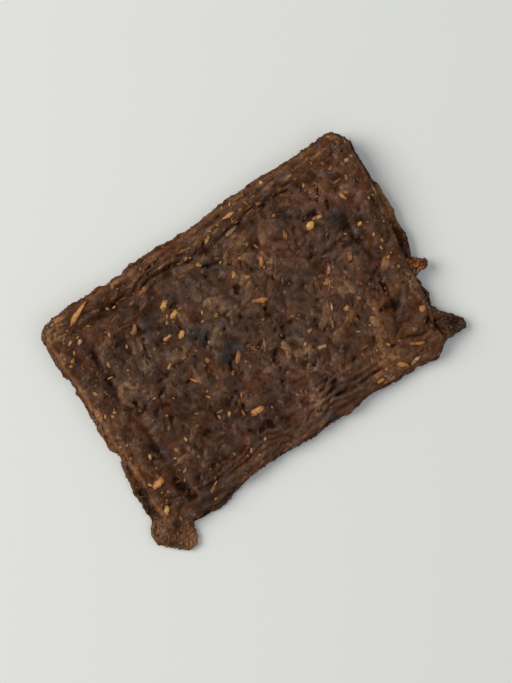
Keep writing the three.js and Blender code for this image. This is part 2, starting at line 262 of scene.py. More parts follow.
def top_height(x, y, inside):
    """Height of the upper face: field, rims, furrow, corner lump, folds, fibres and lumps.
    Finer than in the CAD part, the furrows and fibres wander and come and go."""
    left, right, back, front = inside
    aside = 0.9 * lumps(x, y, 6, 51)
    broken = np.clip(0.55 + 0.8 * lumps(x, y, 7, 50), 0, 1.2)
    sunk = CENTRE_SINK * (1 - np.clip((x / 36) ** 2, 0, 1)) * (1 - np.clip((y / 24.4) ** 2, 0, 1))
    open_field = smooth((left - 4) / 4) * smooth((right - 5) / 4)
    strip = (ridge(BACK_FURROW, back + aside) + ridge(BACK_RIDGE, back + aside)) * open_field
    between = smooth((back - 4) / 4) * smooth((front - 3) / 4)
    strip += (ridge(LEFT_FURROW, left + aside) + ridge(RIGHT_FURROW, right + aside)) * between
    corner_lump = 0.75 * hump(np.hypot(x - 31.5, y - 17) / 8.5)
    fold = 0.5 * hump((front - 7.5 - 0.25 * (31 - x)) / 2.2) * smooth((x - 20) / 8)
    sway = 0.25 * lumps(x, y, 15, 7)
    strand = front + 1.1 * lumps(x, y, 9, 8) + 1.1 * lumps(x, y, 4.5, 53)
    fibres = FIBRE_HEIGHT * np.cos(strand / FIBRE_SPACING * TAU) * hump(front / FIBRE_BAND)
    fibres *= np.clip(0.4 + 0.8 * lumps(x * 0.6, y, 5, 54), 0, 1)
    mince = COARSE_HEIGHT * lumps(x, y, COARSE_LUMP, 5) + FINE_HEIGHT * lumps(x, y, FINE_LUMP, 6)
    height = FIELD_THICKNESS - sunk + edge_profile(x, y, inside) + strip * broken + corner_lump
    return height + fold + fibres + sway + mince + curl(x, y)


def wall_foot(x, y):
    """Height of the lower end of the wall, a little above the underside."""
    return curl(x, y) + 0.35


def cad_grid_line(count):
    """Grid lines of the CAD part's underside: they crowd towards both ends."""
    even = np.linspace(-1, 1, count + 1)
    return even * 0.58 + np.sin(even * math.pi / 2) * 0.42


def under_height(s, t):
    """Height of the underside: a flat foot, and outside it the curl and a rise by each cell."""
    wide, deep = FOOT_CELLS
    i = np.interp(s / 0.95, cad_grid_line(wide), np.arange(wide + 1))
    j = np.interp(t / 0.93, cad_grid_line(deep), np.arange(deep + 1))
    beside_x = np.maximum(0, np.maximum(FOOT_INSET - i, i - FOOT_END))
    beside_y = np.maximum(0, np.maximum(FOOT_INSET - j, j - (deep - FOOT_INSET)))
    cells_out = np.hypot(beside_x, beside_y)
    return np.minimum(1, cells_out) * curl(*plain_place(s, t)) + RISE_BY_CELL * cells_out


def lower_lip(x, y):
    """How far the lower lip reaches out past the upper edge: a base reach and swellings."""
    return LIP_REACH + patches(x, y, LIP_SWELLINGS)


def pull_amount(x, y, pull):
    """How much a place follows a pull: all the way over the middle third, then (1 - d)^1.7
    of the way to its edge."""
    distance = np.hypot(x - pull[0], y - pull[1]) / pull[2]
    return (1 - np.clip((distance - 0.3) / 0.7, 0, 1)) ** 1.7


def pulled_out(x, y, ring):
    """How far a wall ring is pulled out along x and y."""
    amounts = [pull_amount(x, y, pull) * pull[5][ring] for pull in PULLS]
    return tuple(sum(a * pull[k] for a, pull in zip(amounts, PULLS)) for k in (3, 4))


def pull_tones(x, y):
    """How tan and how charred the meat of the torn tags is."""
    amounts = [np.sqrt(pull_amount(x, y, pull)) for pull in PULLS]
    return tuple(np.max([a * pull[k] for a, pull in zip(amounts, PULLS)], axis=0) for k in (6, 7))


# %% [markdown]
# ## Creases
# Where the pressed meat folded as it shrank there are dark lines, most of them under half a millimetre
# deep: a broken double row inside the back rim, shorter ones beside the front, one inside each cut end,
# and a deep one between the front right corner and its torn tag. They are cut into the face, and
# painted shade darkens them further. Each is a straight line on ground that wanders, so it comes out as
# a ragged fold.

# %% Creases
# From x, y to x, y, half width, depth. First the back band, then the left end, the right end,
# and the front band.
CREASES = [
    (-29, 21.5, -21.7, 20.4, 0.6, 0.4),
    (-16.5, 22.6, -10.5, 22.3, 0.45, 0.3),
    (-5.3, 23.9, 5.6, 23.3, 0.45, 0.3),
    (-4.0, 19.6, 1.5, 19.9, 0.4, 0.25),
    (1.0, 17.0, 12.0, 18.7, 0.45, 0.3),
    (12.5, 20.9, 20.5, 20.7, 0.4, 0.25),
    (12.0, 23.2, 22.0, 23.4, 0.45, 0.3),
    (-26.0, 19.3, -18.0, 18.8, 0.4, 0.2),
    (-21.5, 20.1, -16.7, 20.8, 0.6, 0.4),
    (-30, 17.9, -25, 17.4, 0.7, 0.2),
    (-13, 23.2, -6, 22.2, 0.5, 0.3),
    (-1.2, 16.9, 1.8, 15.6, 0.8, 0.35),
    (2.4, 18.9, 7.2, 20.2, 0.6, 0.35),
    (10.3, 20.6, 15.9, 19.9, 0.6, 0.35),
    (16, 22.9, 24, 20.9, 0.6, 0.3),
    (-30.2, 15, -30.8, 4, 1.4, 0.35),
    (-30.8, 3, -30.9, -6, 1.2, 0.25),
    (-31.0, -7, -30.2, -20, 1.5, 0.45),
    (26.9, 10.5, 26.5, -1.5, 1.0, 0.4),
    (26.6, -5.8, 26.3, -12, 1.0, 0.4),
    (34.2, 9.5, 34.3, -3, 0.7, 0.25),
    (-13, -15.4, -9.2, -17.0, 1.1, 0.35),
    (-6, -17.5, 2, -18.4, 0.6, 0.25),
    (0, -15.8, 8.5, -16.4, 0.5, 0.2),
    (3.0, -17.4, 8.5, -17.9, 0.5, 0.25),
    (6.5, -18.8, 16, -19.9, 0.6, 0.3),
    (-2.0, -20.3, 5.0, -20.8, 0.5, 0.25),
    (21, -17.2, 30, -18.8, 0.7, 0.3),
    (0.4, -23.2, 4.6, -23.4, 0.7, 0.5),
    (31.2, -17.8, 32.2, -22.6, 1.5, 1.0),
]
WRINKLE_SPACING, WRINKLE_HEIGHT = 1.5, 0.24


def wrinkles(x, y, inside):
    """Long fine wrinkles beside the long sides: a cosine of the distance in, on ground that
    wanders by lumps of 6 mm. They come and go, and are clearest right of the front's middle
    and 3 mm inside the back."""
    near = np.minimum(inside[2], inside[3])
    band = hump(inside[3] / 12.0) + hump(inside[2] / 9.0)
    wander = 1.8 * lumps(x, y, 6, 31) + 0.6 * lumps(x * 0.6, y, 2.6, 32)
    clearest = 1.4 * hump(np.hypot((x - 7) / 14, (y + 17.5) / 7.0))
    clearest += 0.8 * hump((inside[2] - 3.2) / 4.5) * hump((x + 3) / 36)
    strength = np.clip(0.2 + 0.8 * lumps(x * 0.6, y * 1.6, 5, 33) + clearest, 0, 1.5)
    return WRINKLE_HEIGHT * np.cos((near + wander) / WRINKLE_SPACING * TAU) * band * strength


def creases(x, y):
    """Depth of the fold lines: a hump about the distance to a straight line, on ground that
    is moved about by lumps of 4 mm and 1.8 mm so that the lines wander. They come and go."""
    wx = x + 1.0 * lumps(x, y, 4, 15) + 0.35 * lumps(x, y, 1.8, 18)
    wy = y + 1.0 * lumps(x, y, 4, 16) + 0.35 * lumps(x, y, 1.8, 19)
    depth = np.zeros_like(x)
    for x0, y0, x1, y1, half_width, deep in CREASES:
        run_x, run_y = x1 - x0, y1 - y0
        along = ((wx - x0) * run_x + (wy - y0) * run_y) / (run_x**2 + run_y**2)
        along = np.clip(along, 0, 1)
        away = np.hypot(wx - x0 - run_x * along, wy - y0 - run_y * along)
        depth = np.maximum(depth, deep * hump(away / half_width))
    return depth * np.clip(0.75 + 0.6 * lumps(x, y, 3.5, 17), 0.2, 1.2)


# %% [markdown]
# ## Relief of the mince
# Strands of mince break up in the press and dry to grains 1 to 1.8 mm thick and a few
# millimetres long, flattened on top. Thinner strands fill the gaps. Near a side they were
# dragged along it and are longer. Thousands of them are drawn into a map of 0.1 mm cells.
# Each is a row of round stamps along a curved line, and the highest stamp wins, as it does
# when one strand lies over another. The map also keeps where each cell lies across and along
# its strand, so that the finest fibres can run along every grain.

# %% Painting strands
CELL = 0.1
GAP_LEVEL = -0.34


def strand_lines(start, heading, steps, pace, rng, waver=0.3):
    """Curved lines: headings are the running sum of small turns, places the running sum of
    steps. Returns two arrays, strands by stations."""
    count = len(heading)
    turns = rng.normal(0, waver, (count, steps)) * 0.35 + rng.normal(0, 0.06, (count, 1))
    angle = heading[:, None] + np.cumsum(turns, axis=1)
    x = start[0][:, None] + np.cumsum(np.cos(angle), axis=1) * pace[:, None]
    y = start[1][:, None] + np.cumsum(np.sin(angle), axis=1) * pace[:, None]
    return x, y


def thick_then_thin(radius, stations, ends=0.5):
    """Radii along a strand: full in the middle and that share of it at both ends."""
    bow = np.sin((np.arange(stations) + 0.5) / stations * math.pi)
    return radius[:, None] * (ends + (1 - ends) * bow**0.6)


def along_strands(x, y):
    """Unit direction and travelled length at each station of each strand."""
    run_x, run_y = np.gradient(x, axis=1), np.gradient(y, axis=1)
    pace = np.hypot(run_x, run_y)
    return run_x / pace, run_y / pace, np.cumsum(pace, axis=1)


def own_number(count):
    """A number for each strand, so that no two neighbours carry the same fibres."""
    return np.arange(count) % 97 * 1.7


def paint(wide, high, x, y, radius, base, tint, wrap=False):
    """Five maps of wide by high mm, of the highest strand over each cell: its height, tint,
    the place across and along it in mm, and its own number.

    Round stamp: base + 0.8 * sqrt(r^2 - d^2). The maps' middle is 0, 0."""
    cells_x, cells_y = int(wide / CELL) + 1, int(high / CELL) + 1
    maps = np.zeros((5, cells_x * cells_y))
    maps[0] = GAP_LEVEL
    gx, gy = (x + wide / 2) / CELL, (y + high / 2) / CELL
    ix, iy = np.rint(gx).astype(int), np.rint(gy).astype(int)
    run_x, run_y, travelled = along_strands(x, y)
    own = np.broadcast_to(own_number(len(x))[:, None], x.shape)
    tint = np.broadcast_to(tint[:, None], x.shape)
    base = np.broadcast_to(base[:, None], x.shape)
    reach = int(math.ceil(radius.max() / CELL))
    offsets = [(a, b) for a in range(-reach, reach + 1) for b in range(-reach, reach + 1)]

    def stamp(a, b):
        column, row = ix + a, iy + b
        off_x, off_y = (column - gx) * CELL, (row - gy) * CELL
        rest = radius**2 - off_x**2 - off_y**2
        if wrap:
            column = column % cells_x
        good = (rest > 0) & (column >= 0) & (column < cells_x) & (row >= 0) & (row < cells_y)
        level = base + 0.8 * np.sqrt(np.maximum(rest, 0))
        return (row * cells_x + column)[good], level[good], good, off_x, off_y

    for a, b in offsets:
        index, level, _good, _x, _y = stamp(a, b)
        np.maximum.at(maps[0], index, level)
    for a, b in offsets:
        index, level, good, off_x, off_y = stamp(a, b)
        on_top = level >= maps[0][index] - 1e-9
        across = off_y * run_x - off_x * run_y
        along = travelled + off_x * run_x + off_y * run_y
        for number, values in enumerate((tint, across, along, own), start=1):
            maps[number][index[on_top]] = values[good][on_top]
    return maps.reshape(5, cells_y, cells_x)


def paint_layer(wide, high, x, y, radius, base, tints, rng, wrap=False):
    """Paint lines as strands: radii and bases are drawn between two numbers, and tints about
    a middle."""
    count, stations = x.shape
    radii = thick_then_thin(rng.uniform(*radius, count), stations)
    tint = np.clip(rng.normal(*tints, count), 0, 1)
    return paint(wide, high, x, y, radii, rng.uniform(*base, count), tint, wrap)


def over(first, second):
    """Of two painted sets of maps, the higher one at each cell."""
    return np.where(first[0] >= second[0], first, second)


def pressed(height, cap=0.17, share=0.4):
    """Height after the press: above the cap only a share of the rest is left."""
    return np.where(height > cap, cap + (height - cap) * share, height)


def blur(field, cells):
    """Mean over a square of 2 * cells + 1, along one axis and then the other."""
    for axis in (0, 1):
        pad = [(0, 0), (0, 0)]
        pad[axis] = (cells + 1, cells)
        total = np.cumsum(np.pad(field, pad, mode="edge"), axis=axis)
        size = field.shape[axis]
        upper = np.take(total, np.arange(2 * cells + 1, 2 * cells + 1 + size), axis=axis)
        lower = np.take(total, np.arange(size), axis=axis)
        field = (upper - lower) / (2 * cells + 1)
    return field


def cell_numbers(shape, x, y, wide, high):
    """Fractional column and row of a place in mm, held inside the map."""
    gx = np.clip((x + wide / 2) / CELL, 0, shape[1] - 1.001)
    gy = np.clip((y + high / 2) / CELL, 0, shape[0] - 1.001)
    return gx, gy


def read(field, x, y, wide, high):
    """Value of a map at x, y: the four nearest cells, weighted by nearness."""
    gx, gy = cell_numbers(field.shape, x, y, wide, high)
    i, j = gx.astype(int), gy.astype(int)
    fx, fy = gx - i, gy - j
    low = field[j, i] * (1 - fx) + field[j, i + 1] * fx
    high_row = field[j + 1, i] * (1 - fx) + field[j + 1, i + 1] * fx
    return low * (1 - fy) + high_row * fy


def read_fibre(maps, x, y, wide, high):
    """Across, along and own number at the nearest cell, without blending neighbours."""
    gx, gy = cell_numbers(maps.shape[1:], x, y, wide, high)
    return np.moveaxis(maps[2:, np.rint(gy).astype(int), np.rint(gx).astype(int)], 0, -1)


def beside(px, py):
    """How near a place across the slab is to an end and to a long side, from 0 to 1."""
    near_end = smooth(1 - np.minimum(px + HALF_X, HALF_X - px) / 6.5)
    near_long = smooth(1 - np.minimum(py + HALF_Y + 1.5, HALF_Y - py) / 9.0)
    return near_end, near_long


def flow(px, py, rng):
    """Heading of a strand: swirls in the field, along the side near a side."""
    near_end, near_long = beside(px, py)
    free = math.pi * lumps(px, py, 13, 41) + rng.normal(0, 0.8, px.shape)
    drawn = np.where(near_end > near_long, math.pi / 2, 0.0)
    pull = np.maximum(near_end, near_long)
    return free * (1 - pull) + (drawn + rng.normal(0, 0.16, px.shape)) * pull


# %% Relief of the upper face
TOP_WIDE, TOP_HIGH = 2 * HALF_X, 2 * HALF_Y


def layer_on_top(count, stations, length, radius, base, tints, rng):
    """One layer of strands over the upper face, each centred on a drawn place. Beside the
    long sides they are up to 3 times as long."""
    start = tuple(rng.uniform(-half - 1, half + 1, count) for half in (HALF_X, HALF_Y))
    longer = 1 + 2.0 * beside(*start)[1]
    pace = rng.uniform(*length, count) / stations * longer
    heading = flow(*start, rng)
    back = pace * stations / 2
    middle = start[0] - np.cos(heading) * back, start[1] - np.sin(heading) * back
    x, y = strand_lines(middle, heading, stations, pace, rng, 0.25)
    return paint_layer(TOP_WIDE, TOP_HIGH, x, y, radius, base, tints, rng)


# count, stations, length, radius, base, and the tint's middle and spread
rng = np.random.default_rng(40)
top_maps = reduce(
    over,
    [
        layer_on_top(1700, 24, (2.0, 6.0), (0.6, 1.05), (-0.56, -0.24), (0.5, 0.13), rng),
        layer_on_top(2100, 18, (1.6, 4.6), (0.34, 0.58), (-0.46, -0.14), (0.5, 0.15), rng),
        layer_on_top(2300, 14, (1.0, 3.2), (0.2, 0.34), (-0.4, -0.18), (0.48, 0.17), rng),
    ],
)
top_relief = blur(pressed(top_maps[0]), 1)
top_cavity = top_relief - blur(top_relief, 9)
print("strand relief, mm:", top_relief.min().round(2), "to", top_relief.max().round(2))

# %% [markdown]
# The wall was torn as much as cut, so its strands are finer, stand further apart in height and
# lie nearly level. Their map is a strip that runs once round the slab and closes on itself.

# %% Relief of the wall
WALL_LONG, WALL_HIGH = 244.0, 8.0


def layer_on_wall(count, stations, length, radius, base, tints, rng):
    """One layer of strands round the wall, most of them level."""
    start = (
        rng.uniform(-WALL_LONG / 2, WALL_LONG / 2, count),
        rng.uniform(-WALL_HIGH / 2, WALL_HIGH / 2, count),
    )
    pace = rng.uniform(*length, count) / stations
    x, y = strand_lines(start, rng.normal(0, 0.3, count), stations, pace, rng, 0.3)
    return paint_layer(WALL_LONG, WALL_HIGH, x, y, radius, base, tints, rng, wrap=True)


wall_maps = over(
    layer_on_wall(900, 24, (2.0, 6.0), (0.4, 0.7), (-0.45, -0.1), (0.5, 0.18), rng),
    layer_on_wall(3000, 16, (1.2, 4.5), (0.18, 0.34), (-0.32, 0.06), (0.5, 0.26), rng),
)
wall_relief = blur(wall_maps[0], 1)
wall_cavity = wall_relief - blur(wall_relief, 8)


# %% [markdown]
# ## The slab's skin
# The upper face is a grid in `s` and `t`. The wall is a set of rings round it, drawn smoothly
# through five guide rings: upper edge, upper lip, groove, lower lip and underside edge. The
# underside is a grid with cells twice as large, stitched to the last ring. So the slab is
# one closed skin. It is kept 0.25 mm low, because strands are laid on it afterwards.

# %% Surface functions
RELIEF = 0.85
STRAND_ROOM = 0.25


def guide_rings(edge, s, t, outward):
    """The wall's five guide rings, as rings by points by 3. The reach out of the upper edge
    and the share of the height are the CAD part's."""
    x, y, _ = place(s, t)
    lip = lower_lip(x, y)
    high = edge[:, 2]
    rings = [edge]
    for number, (base, with_lip, level, seed) in enumerate(WALL_RINGS):
        reach = base + with_lip * lip + 0.32 * lumps(x * 1.3, y * 1.3 + seed, 2.6, seed)
        pulled_x, pulled_y = pulled_out(x, y, number)
        rx = x + outward[:, 0] * reach + pulled_x
        ry = y + outward[:, 1] * reach + pulled_y
        low = wall_foot(rx, ry)
        rings.append(np.stack([rx, ry, low + (high - low) * level], axis=-1))
    return np.stack(rings)


def through(rings, w):
    """Smooth curve through the guide rings at w from 0 to 1: a Catmull-Rom spline."""
    last = len(rings) - 1
    padded = np.concatenate([2 * rings[:1] - rings[1:2], rings, 2 * rings[-1:] - rings[-2:-1]])
    k = min(int(w * last), last - 1)
    q = w * last - k
    a, b, c, d = padded[k : k + 4]
    bend = (2 * a - 5 * b + 4 * c - d) * q**2 + (3 * b - a - 3 * c + d) * q**3
    return 0.5 * (2 * b + (c - a) * q + bend)


def grid_line(count):
    """Grid lines from -1 to 1 that crowd a little towards both ends."""
    even = np.linspace(-1, 1, count + 1)
    return even * 0.78 + np.sin(even * math.pi / 2) * 0.22


def border(across, deep):
    """Grid points round the border, anticlockwise from the front left corner."""
    i = np.concatenate(
        [np.arange(across), np.full(deep, across), np.arange(across, 0, -1), np.zeros(deep, int)]
    )
    j = np.concatenate(
        [np.zeros(across, int), np.arange(deep), np.full(across, deep), np.arange(deep, 0, -1)]
    )
    return i, j


def grid_faces(across, deep, first, flip=False):
    """Two triangles for each cell of a grid of points, numbered row by row from first."""
    i, j = np.meshgrid(np.arange(across), np.arange(deep))
    a = (first + j * (across + 1) + i).ravel()
    b, c, d = a + 1, a + across + 2, a + across + 1
    cells = np.concatenate([np.stack([a, b, c], 1), np.stack([a, c, d], 1)])
    return cells[:, ::-1] if flip else cells


def band_faces(upper, lower):
    """Two triangles for each gap between two rings of the same length."""
    nu, nl = np.roll(upper, -1), np.roll(lower, -1)
    return np.concatenate([np.stack([upper, lower, nl], 1), np.stack([upper, nl, nu], 1)])


def unit(vectors):
    """Each vector over its length."""
    return vectors / np.maximum(np.linalg.norm(vectors, axis=-1, keepdims=True), 1e-12)


# %% [markdown]
# ## Tones
# Meat that dried thin at the sides is warmer and lighter, the middle is cooler, and a few spots that
# touched the hot rack are bluish black. Broad lighter and darker patches go on the tint too: some are
# the meat's own tone, some are painted shade, inside the end rims, over the right end and at the long
# tag's root, and two are a painted sheen on the field. These broad tones belong to the slab's own
# places, so they are worked out here and stored on the mesh for the material to read.

# %% Tones of the upper face
COLUMNS, ROWS, RINGS = 290, 196, 28

# Share of warm light tan at the very edge, for the four sides.
EDGE_TAN = np.array([0.75, 0.4, 0.4, 0.15])

# Charred, pressed-smooth patches: x, y, radius, strength.
CHARRED = [
    (-10.5, 6.2, 2.4, 0.6),
    (-7.1, -0.3, 2.9, 0.6),
    (-18.4, 13.4, 2.2, 0.5),
    (26.0, 9.8, 2.3, 0.5),
    (5.8, -5.0, 1.8, 0.5),
    (-27.3, -4.2, 2.0, 0.4),
    (14.5, 3.8, 1.8, 0.4),
    (-11.4, -16.2, 2.4, 0.4),
    (-0.3, 16.4, 2.8, 0.3),
    (16.8, 15.0, 2.3, 0.3),
    (2.4, -23.3, 2.2, 0.5),
    (-4.6, 4.8, 1.8, 0.35),
]

# Broad lighter and darker patches, partly the meat's own tone and partly painted light and shade:
# painted shade inside the end rims, over the right end and at the long tag's root, and a painted sheen
# at -14.2, -6.4 and at -1, 17. Each is x, y, radius, shift of the tint.
BROAD_TONES_LIGHT_AND_SHADE = [
    (-31, 10, 5, -0.22),
    (-31, -9, 4.5, -0.25),
    (-25, 9, 5, 0.06),
    (-20, 21, 5, -0.12),
    (-14.2, -6.4, 3.2, 0.22),
    (-1, 17, 3.6, 0.16),
    (-20, -14, 7, 0.05),
    (-7, -20.5, 6, 0.14),
    (10, 13, 7, 0.08),
    (24, 15, 7, 0.1),
    (26.5, 4, 4, -0.16),
    (26.5, -13, 5.5, -0.25),
    (11, 2, 5, -0.05),
    (-9, 2, 13, 0.17),
    (6, 2, 8, 0.1),
    (-17, -9, 6, 0.1),
    (0, 22, 8, -0.1),
    (-34, 7, 6, -0.12),
    (12, 20, 3.5, -0.15),
    (0, -10.5, 4, -0.1),
    (-5, -3, 4, 0.12),
    (32.5, 2, 9, -0.26),
    (12, -12, 7, -0.06),
    (22, -22, 5, 0.16),
    (-31, -17, 3, -0.12),
    (18, -22.5, 6, 0.3),
    (-14, -22.5, 4, 0.2),
    (0, -22.8, 2.5, 0.18),
    (31.8, -19.6, 1.8, -0.4),
]

# How warm the brown is in the field, and patches where it is warmer or cooler: x, y, radius,
# shift.
PLAIN_WARMTH = 0.42
WARM_PATCHES = [
    (22, -16, 15, 0.4),
    (29, 17, 9, 0.3),
    (-28, 22, 10, 0.25),
    (-37.5, -25.5, 7, -0.5),
    (-34, -14, 10, 0.3),
    (11, 22, 6, 0.3),
    (-10, -13, 5, 0.25),
    (17, 0, 5, 0.2),
    (-15, 20, 5, 0.2),
    (5, 10, 6, 0.1),
    (-10, 6, 7, -0.45),
    (-3.5, 15, 8, -0.35),
    (-3, 4, 6, -0.3),
    (-27, 9, 10, -0.3),
    (-19, 5, 8, -0.25),
    (27, 7, 6, -0.3),
    (11, 2, 8, -0.2),
    (5, -5, 7, -0.2),
    (17, 15, 5, -0.25),
    (-24, -5, 7, -0.15),
    (32.5, 0, 9, 0.25),
]


def warm_zone(x, y):
    """How warm the meat's brown is, from 0 to 1: warmer towards the sides and over the warm
    patches, cooler over the cool ones."""
    side = np.minimum(HALF_X - np.abs(x), HALF_Y - np.abs(y))
    warmth = PLAIN_WARMTH + 0.35 * np.exp(-np.maximum(side, 0) / 4)
    return np.clip(warmth + patches(x, y, WARM_PATCHES), 0, 1)


def rim_warmth(x, y, inside):
    """How much tan the meat shows near the sides, from 0 to 1: a little on the rims, and a
    broken line of it on the very edge."""
    line = (EDGE_TAN[:, None] * np.exp(-((inside.reshape(4, -1) / 0.55) ** 2))).max(axis=0)
    broken = np.clip(0.6 + 0.7 * lumps(x, y, 1.7, 21), 0, 1)
    rims = 0.07 * np.exp(-inside[:3].min(axis=0) / 3.5) + 0.05 * np.exp(-inside[3] / 2.5)
    return rims + line.reshape(x.shape) * broken


def charring(x, y):
    """How charred the meat is, from 0 to 1: the listed patches, on ground that is moved
    about by lumps of 1.8 mm so that their outlines are ragged."""
    wx, wy = x + 0.9 * lumps(x, y, 1.8, 23), y + 0.9 * lumps(x, y, 1.8, 24)
    amount = np.zeros_like(x)
    for cx, cy, radius, strength in CHARRED:
        away = np.hypot(wx - cx, wy - cy) / radius
        amount = np.maximum(amount, strength * smooth((1.1 - away) / 0.5))
    return amount


# %% [markdown]
# The upper face is what the eye sees first, so its grid is the finest: a cell is about a quarter of a
# millimetre. The painted strands, the folds and the wrinkles are all added to its height. Shade is
# painted into its colour as well: how far a point stands over the ground about it, or lies in a fold,
# darkens or lightens it.

# %% The upper face
s, t = np.meshgrid(grid_line(COLUMNS), grid_line(ROWS))
px, py = s * HALF_X, t * HALF_Y
x, y, inside = place(s, t)
folded = creases(x, y)
z = top_height(x, y, inside) - STRAND_ROOM - folded + wrinkles(x, y, inside)
calm = 1 - 0.4 * hump(inside[3] / 11) - 0.3 * hump(inside[2] / 9)
z += RELIEF * calm * read(top_relief, px, py, TOP_WIDE, TOP_HIGH)
top_sheet = np.stack([x, y, z], axis=-1)
standing = 0.75 * (z - blur(z, 3)) + 0.4 * (z - blur(z, 8))
# Looks of each point: tint, height, tan, char. The tint carries the broad tones with their painted
# light and shade, and the height is painted shade: low places and folds get less, and the material
# darkens them.
top_looks = np.stack(
    [
        read(top_maps[1], px, py, TOP_WIDE, TOP_HIGH) + patches(x, y, BROAD_TONES_LIGHT_AND_SHADE),
        0.5 + 1.05 * standing - 0.45 * folded,
        rim_warmth(x, y, inside),
        charring(x, y),
    ],
    axis=-1,
)
top_fibre = read_fibre(top_maps, px, py, TOP_WIDE, TOP_HIGH)
print("upper face, mm high:", z.min().round(2), "to", z.max().round(2))

# %% [markdown]
# The wall starts at the outermost points of the upper face and goes down through the guide
# rings. Its strands push it out along its own normals, less near its upper and lower edge, so
# that it meets both faces without a step.

# %% The wall
# Height of the wall on its strand map, and how far its skin is sunk, in mm.
WALL_DRAWN, WALL_SINK = 6.6, 0.16

ring_i, ring_j = border(COLUMNS, ROWS)
edge = top_sheet[ring_j, ring_i]
run = (np.roll(edge, -7, axis=0) - np.roll(edge, 7, axis=0))[:, :2]
outward = np.stack([run[:, 1], -run[:, 0]], 1) / np.hypot(*run.T)[:, None]
guides = guide_rings(edge, s[ring_j, ring_i], t[ring_j, ring_i], outward)
step = np.hypot(*(np.roll(edge, -1, axis=0) - edge)[:, :2].T)
along = (np.cumsum(step) / step.sum() - 0.5) * WALL_LONG
plain_wall = np.stack([through(guides, k / RINGS) for k in range(RINGS + 1)])
w = np.linspace(0, 1, RINGS + 1)[:, None] * np.ones(len(edge))
high = (0.5 - w) * WALL_DRAWN
along = np.broadcast_to(along, w.shape)
downward = np.gradient(plain_wall, axis=0)
forward = np.roll(plain_wall, -3, axis=1) - np.roll(plain_wall, 3, axis=1)
wall_normal = unit(np.cross(downward, forward))
fade = np.minimum(1, np.minimum(5 * w, 6 * (1 - w)))
push = RELIEF * (read(wall_relief, along, high, WALL_LONG, WALL_HIGH) - WALL_SINK) * fade
wall_sheet = plain_wall + wall_normal * push[..., None]
tag_tan, _char = pull_tones(edge[:, 0], edge[:, 1])
# Painted shade in the groove between the upper and the lower lip, left out where a torn tag is tan.
groove = np.exp(-(((w - 0.5) / 0.13) ** 2)) * (1 - np.clip(5 * tag_tan, 0, 1))


def wall_tones(x, y, w):
    """How tan and how charred the wall is: a broken tan line along the upper lip, a weak one
    along the lower, and the tones of the torn tags."""
    broken = np.clip(0.6 + 0.7 * lumps(x, y, 1.7, 21), 0, 1)
    lips = 0.4 * np.exp(-((w / 0.12) ** 2)) + 0.15 * np.exp(-(((w - 0.75) / 0.1) ** 2))
    tags = pull_tones(x, y)
    return np.maximum(broken * lips, tags[0] * (0.5 + broken)), tags[1]


# Painted light and shade on the wall: a lighter stretch at the right end, which faces away from the
# lamp, and a darker stretch at the left end, which faces it: x, y, radius, shift of the tint.
WALL_PAINTED_LIGHT_AND_SHADE = [(35.5, 7, 10, 0.6), (-37.5, -14, 7, -0.3)]
# Painted shadow on the neck of the long tag, in the gap under the slab's corner.
NECK_SHADE = -0.7


def wall_light_and_shade(x, y, w):
    """Shift of the wall's tint: the listed stretches of painted light and shade, and the painted shadow
    on the neck of the long tag.
    """
    neck = pull_amount(x, y, PULLS[0]) * smooth(1.3 - w / 0.3)
    return patches(x, y, WALL_PAINTED_LIGHT_AND_SHADE) + NECK_SHADE * neck


wall_tan, wall_char = wall_tones(
    np.broadcast_to(edge[:, 0], w.shape), np.broadcast_to(edge[:, 1], w.shape), w
)
# The wall's height is painted shade: its hollows and its groove are darkened by the material, and its
# tint carries painted light and shade.
wall_looks = np.stack(
    [
        read(wall_maps[1], along, high, WALL_LONG, WALL_HIGH) + wall_light_and_shade(edge[:, 0], edge[:, 1], w),
        0.5 + 1.6 * read(wall_cavity, along, high, WALL_LONG, WALL_HIGH) - 0.35 * groove,
        wall_tan,
        wall_char,
    ],
    axis=-1,
)
wall_fibre = read_fibre(wall_maps, along, high, WALL_LONG, WALL_HIGH)
print("wall:", wall_sheet.shape[1], "points round,", RINGS, "rings")

# %% [markdown]
# The underside was dried on a rack, so it is flat, its strands are pressed level, and the
# gaps between them are shallow.

# %% The underside
UNDER_COLUMNS, UNDER_ROWS = COLUMNS // 2, ROWS // 2
s, t = np.meshgrid(grid_line(UNDER_COLUMNS) * 0.95, grid_line(UNDER_ROWS) * 0.93)
x, y = plain_place(s, t)
mirrored = (-s * HALF_X, t * HALF_Y, TOP_WIDE, TOP_HIGH)
gaps = np.clip(0.12 - 0.6 * read(top_relief, *mirrored), 0, 0.4)
under_sheet = np.stack([x, y, under_height(s, t) + gaps], -1)
# Painted shade: the height is lower where the mirrored upper face has hollows, so the material darkens
# the gaps.
under_looks = np.stack(
    [
        read(top_maps[1], *mirrored),
        0.5 + 1.4 * read(top_cavity, *mirrored),
        0 * s,
        0 * s,
    ],
    axis=-1,
)
under_fibre = read_fibre(top_maps, *mirrored)


